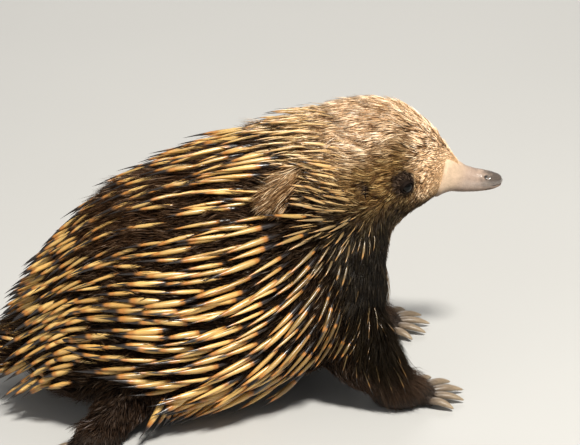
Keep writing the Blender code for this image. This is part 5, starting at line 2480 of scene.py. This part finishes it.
@dataclass
class Claws:
    """The five claws of each foot, as one piece a foot."""

    model: Model
    ground: Ground
    finish: ClawFinish = ClawFinish()
    strand: Strand = Strand(
        sides=14,
        stations=(0.0, 0.08, 0.18, 0.32, 0.46, 0.60, 0.73, 0.85, 0.94, 1.0),
        widths=(0.80, 0.98, 1.04, 1.05, 1.0, 0.90, 0.74, 0.52, 0.30, 0.0),
        flatness=0.72,
    )
    bed: float = 0.0030
    arch: float = 0.0012
    shades: Stretch = (0.2, 0.8)

    def _foot(self, limb: Limb, side: Side) -> Growth:
        """The claws of one foot.

        Args:
            limb: The leg.
            side: Its side.

        Returns:
            One strand a toe.
        """
        shares = np.array(self.strand.stations)[:, None]
        arch = UP * (self.arch * np.sin(shares * math.pi) - limb.claw_drop * shares**2)
        axes, ends = [], []
        for toe, length in enumerate(limb.claw_lengths):
            _, end, along, _ = limb.toe(toe, side)
            axes.append(end - along * self.bed + along * (length + self.bed) * shares + arch)
            ends.append(end)
        count = len(ends)
        return Growth(
            axes=np.array(axes),
            normals=np.tile(UP, (count, 1)),
            widths=np.full(count, limb.claw_width),
            tint=np.ones((count, 3)),
            shade=np.linspace(*self.shades, count),
            roots=np.array(ends),
        )

    def build(self) -> None:
        """All four feet's claws."""
        material = self.finish.material()
        for limb in LIMBS:
            for side in Side:
                name = f"{limb.name}_claws_{side.label}"
                mesh = self._foot(limb, side).mesh(self.strand, self.ground.unwrap, name, material)
                nodes = [f"{limb.name}_claw_{side.label}_{toe + 1}" for toe in range(TOES)]
                self.model.finish(mesh, name, "claw_horn", nodes)


@dataclass(frozen=True)
class Lamp:
    """A soft round studio light."""

    name: str
    place: Triple
    size: float
    power: float
    colour: Colour = (1.0, 1.0, 1.0)


@dataclass
class Studio:
    """The pale floor, the lights and the camera."""

    model: Model
    azimuth: float = -10.0
    elevation: float = 24.0
    distance: float = 2.0
    lens: float = 177.3
    sensor: float = 36.0
    middle: Stretch = (0.063, 0.10955)
    floor_size: float = 6.0
    floor_colour: Colour = (0.47, 0.47, 0.465)
    aim: Triple = (0.0, 0.0, 0.1)
    sky_colour: Colour = (0.90, 0.90, 0.88)
    sky_strength: float = 0.25
    lamps: tuple[Lamp, ...] = (
        Lamp("key", (0.45, -1.10, 2.00), 0.36, 84.0, (1.0, 0.96, 0.88)),
        Lamp("fill", (-1.6, -1.3, 0.9), 1.6, 6.0, (1.0, 0.98, 0.95)),
        Lamp("rim", (0.3, 1.7, 1.3), 1.0, 14.0, (1.0, 0.97, 0.92)),
    )

    def _floor(self) -> None:
        """A plain pale floor."""
        bm = bmesh.new()
        bmesh.ops.create_grid(bm, x_segments=1, y_segments=1, size=self.floor_size / 2)
        shader = Shader("floor_paper", roughness=0.85)
        paper = shader.mix(0.0, self.floor_colour, self.floor_colour)
        shader.output(base_color=shader.dim(paper, 0.97 + 0.06 * shader.cloud(3.0)))
        mesh = to_mesh(bm, "floor", shader.material)
        floor = bpy.data.objects.new("floor", mesh)
        bpy.context.scene.collection.objects.link(floor)
        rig.stage(floor)

    def _lamp(self, lamp: Lamp) -> None:
        """Places one light, which looks at the body."""
        data = bpy.data.lights.new(lamp.name, "AREA")
        data.shape = "DISK"
        data.size = lamp.size
        data.energy = lamp.power
        data.color = lamp.colour
        light = bpy.data.objects.new(lamp.name, data)
        light.location = lamp.place
        aim = Vector(self.aim) - Vector(lamp.place)
        light.rotation_euler = aim.to_track_quat("-Z", "Y").to_euler()
        bpy.context.scene.collection.objects.link(light)

    def _camera(self) -> None:
        """The camera at the photograph's angle and framing."""
        turn, tilt = math.radians(self.azimuth), math.radians(self.elevation)
        right = np.array((math.cos(turn), math.sin(turn), 0.0))
        back = np.array((math.sin(turn) * math.cos(tilt), -math.cos(turn) * math.cos(tilt), math.sin(tilt)))
        up = np.cross(back, right)
        place = right * self.middle[0] + up * self.middle[1] + back * self.distance
        place = place - FORWARD * self.model.shift
        data = bpy.data.cameras.new("camera")
        data.lens = self.lens
        data.sensor_width = self.sensor
        data.sensor_fit = "HORIZONTAL"
        camera = bpy.data.objects.new("camera", data)
        camera.matrix_world = Matrix((*zip(right, up, back, place), (0, 0, 0, 1)))
        bpy.context.scene.collection.objects.link(camera)
        bpy.context.scene.camera = camera

    def _sky(self) -> None:
        """Even light from all round."""
        world = bpy.data.worlds.new("soft_light")
        world.use_nodes = True
        background = world.node_tree.nodes["Background"]
        background.inputs["Color"].default_value = (*self.sky_colour, 1)
        background.inputs["Strength"].default_value = self.sky_strength
        bpy.context.scene.world = world

    def build(self) -> None:
        """Sets the stage."""
        self._floor()
        for lamp in self.lamps:
            self._lamp(lamp)
        self._camera()
        self._sky()
        bpy.context.scene.view_settings.view_transform = "Standard"


def write_sizes(solids: tuple, shown: tuple) -> None:
    """Writes the box of the solids and the box of what is shown.

    Args:
        solids: Lowest and highest corner of the solids.
        shown: Lowest and highest corner of the pieces.
    """
    boxes = {"cad": [list(corner) for corner in solids], "visual": [list(corner) for corner in shown]}
    with open(SIZE_FILE, "w") as file:
        json.dump(boxes, file)


def main() -> None:
    """Builds the model piece by piece around the frame."""
    logging.basicConfig(level=logging.INFO, format="%(message)s")
    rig.load()
    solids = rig.bounds()
    model = Model.from_frame()
    Studio(model).build()
    markings = Markings(model)
    hide = Skin(model, markings).build()
    ground = Ground(hide, model)
    Beak(model).build()
    Eyes(model).build()
    face_skin = SkinFinish("face_skin", roughness=0.60, grain=1600.0, relief=0.0003, gloss=0.03).material()
    Lids(model).build(face_skin)
    Ears(model).build(face_skin)
    Claws(model, ground).build()
    body_hair = FurFinish().material()
    head_finish = FurFinish(
        name="fur_of_head",
        roughness=0.46,
        root_gain=(0.17, 0.095, 0.050),
        tip_gain=1.42,
        gloss=0.25,
        pale_from=(0.05, 0.65),
    )
    materials = {"spiny_coat": body_hair, "leg_fur": body_hair, "head_fur": head_finish.material()}
    coat = Coat(model, ground, markings, materials)
    for fur in FURS:
        coat.grow(fur)
    spines = SpineCoat(model, ground)
    for quills in QUILLS:
        spines.grow(quills)
    write_sizes(solids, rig.bounds())


if __name__ == "__main__":
    main()
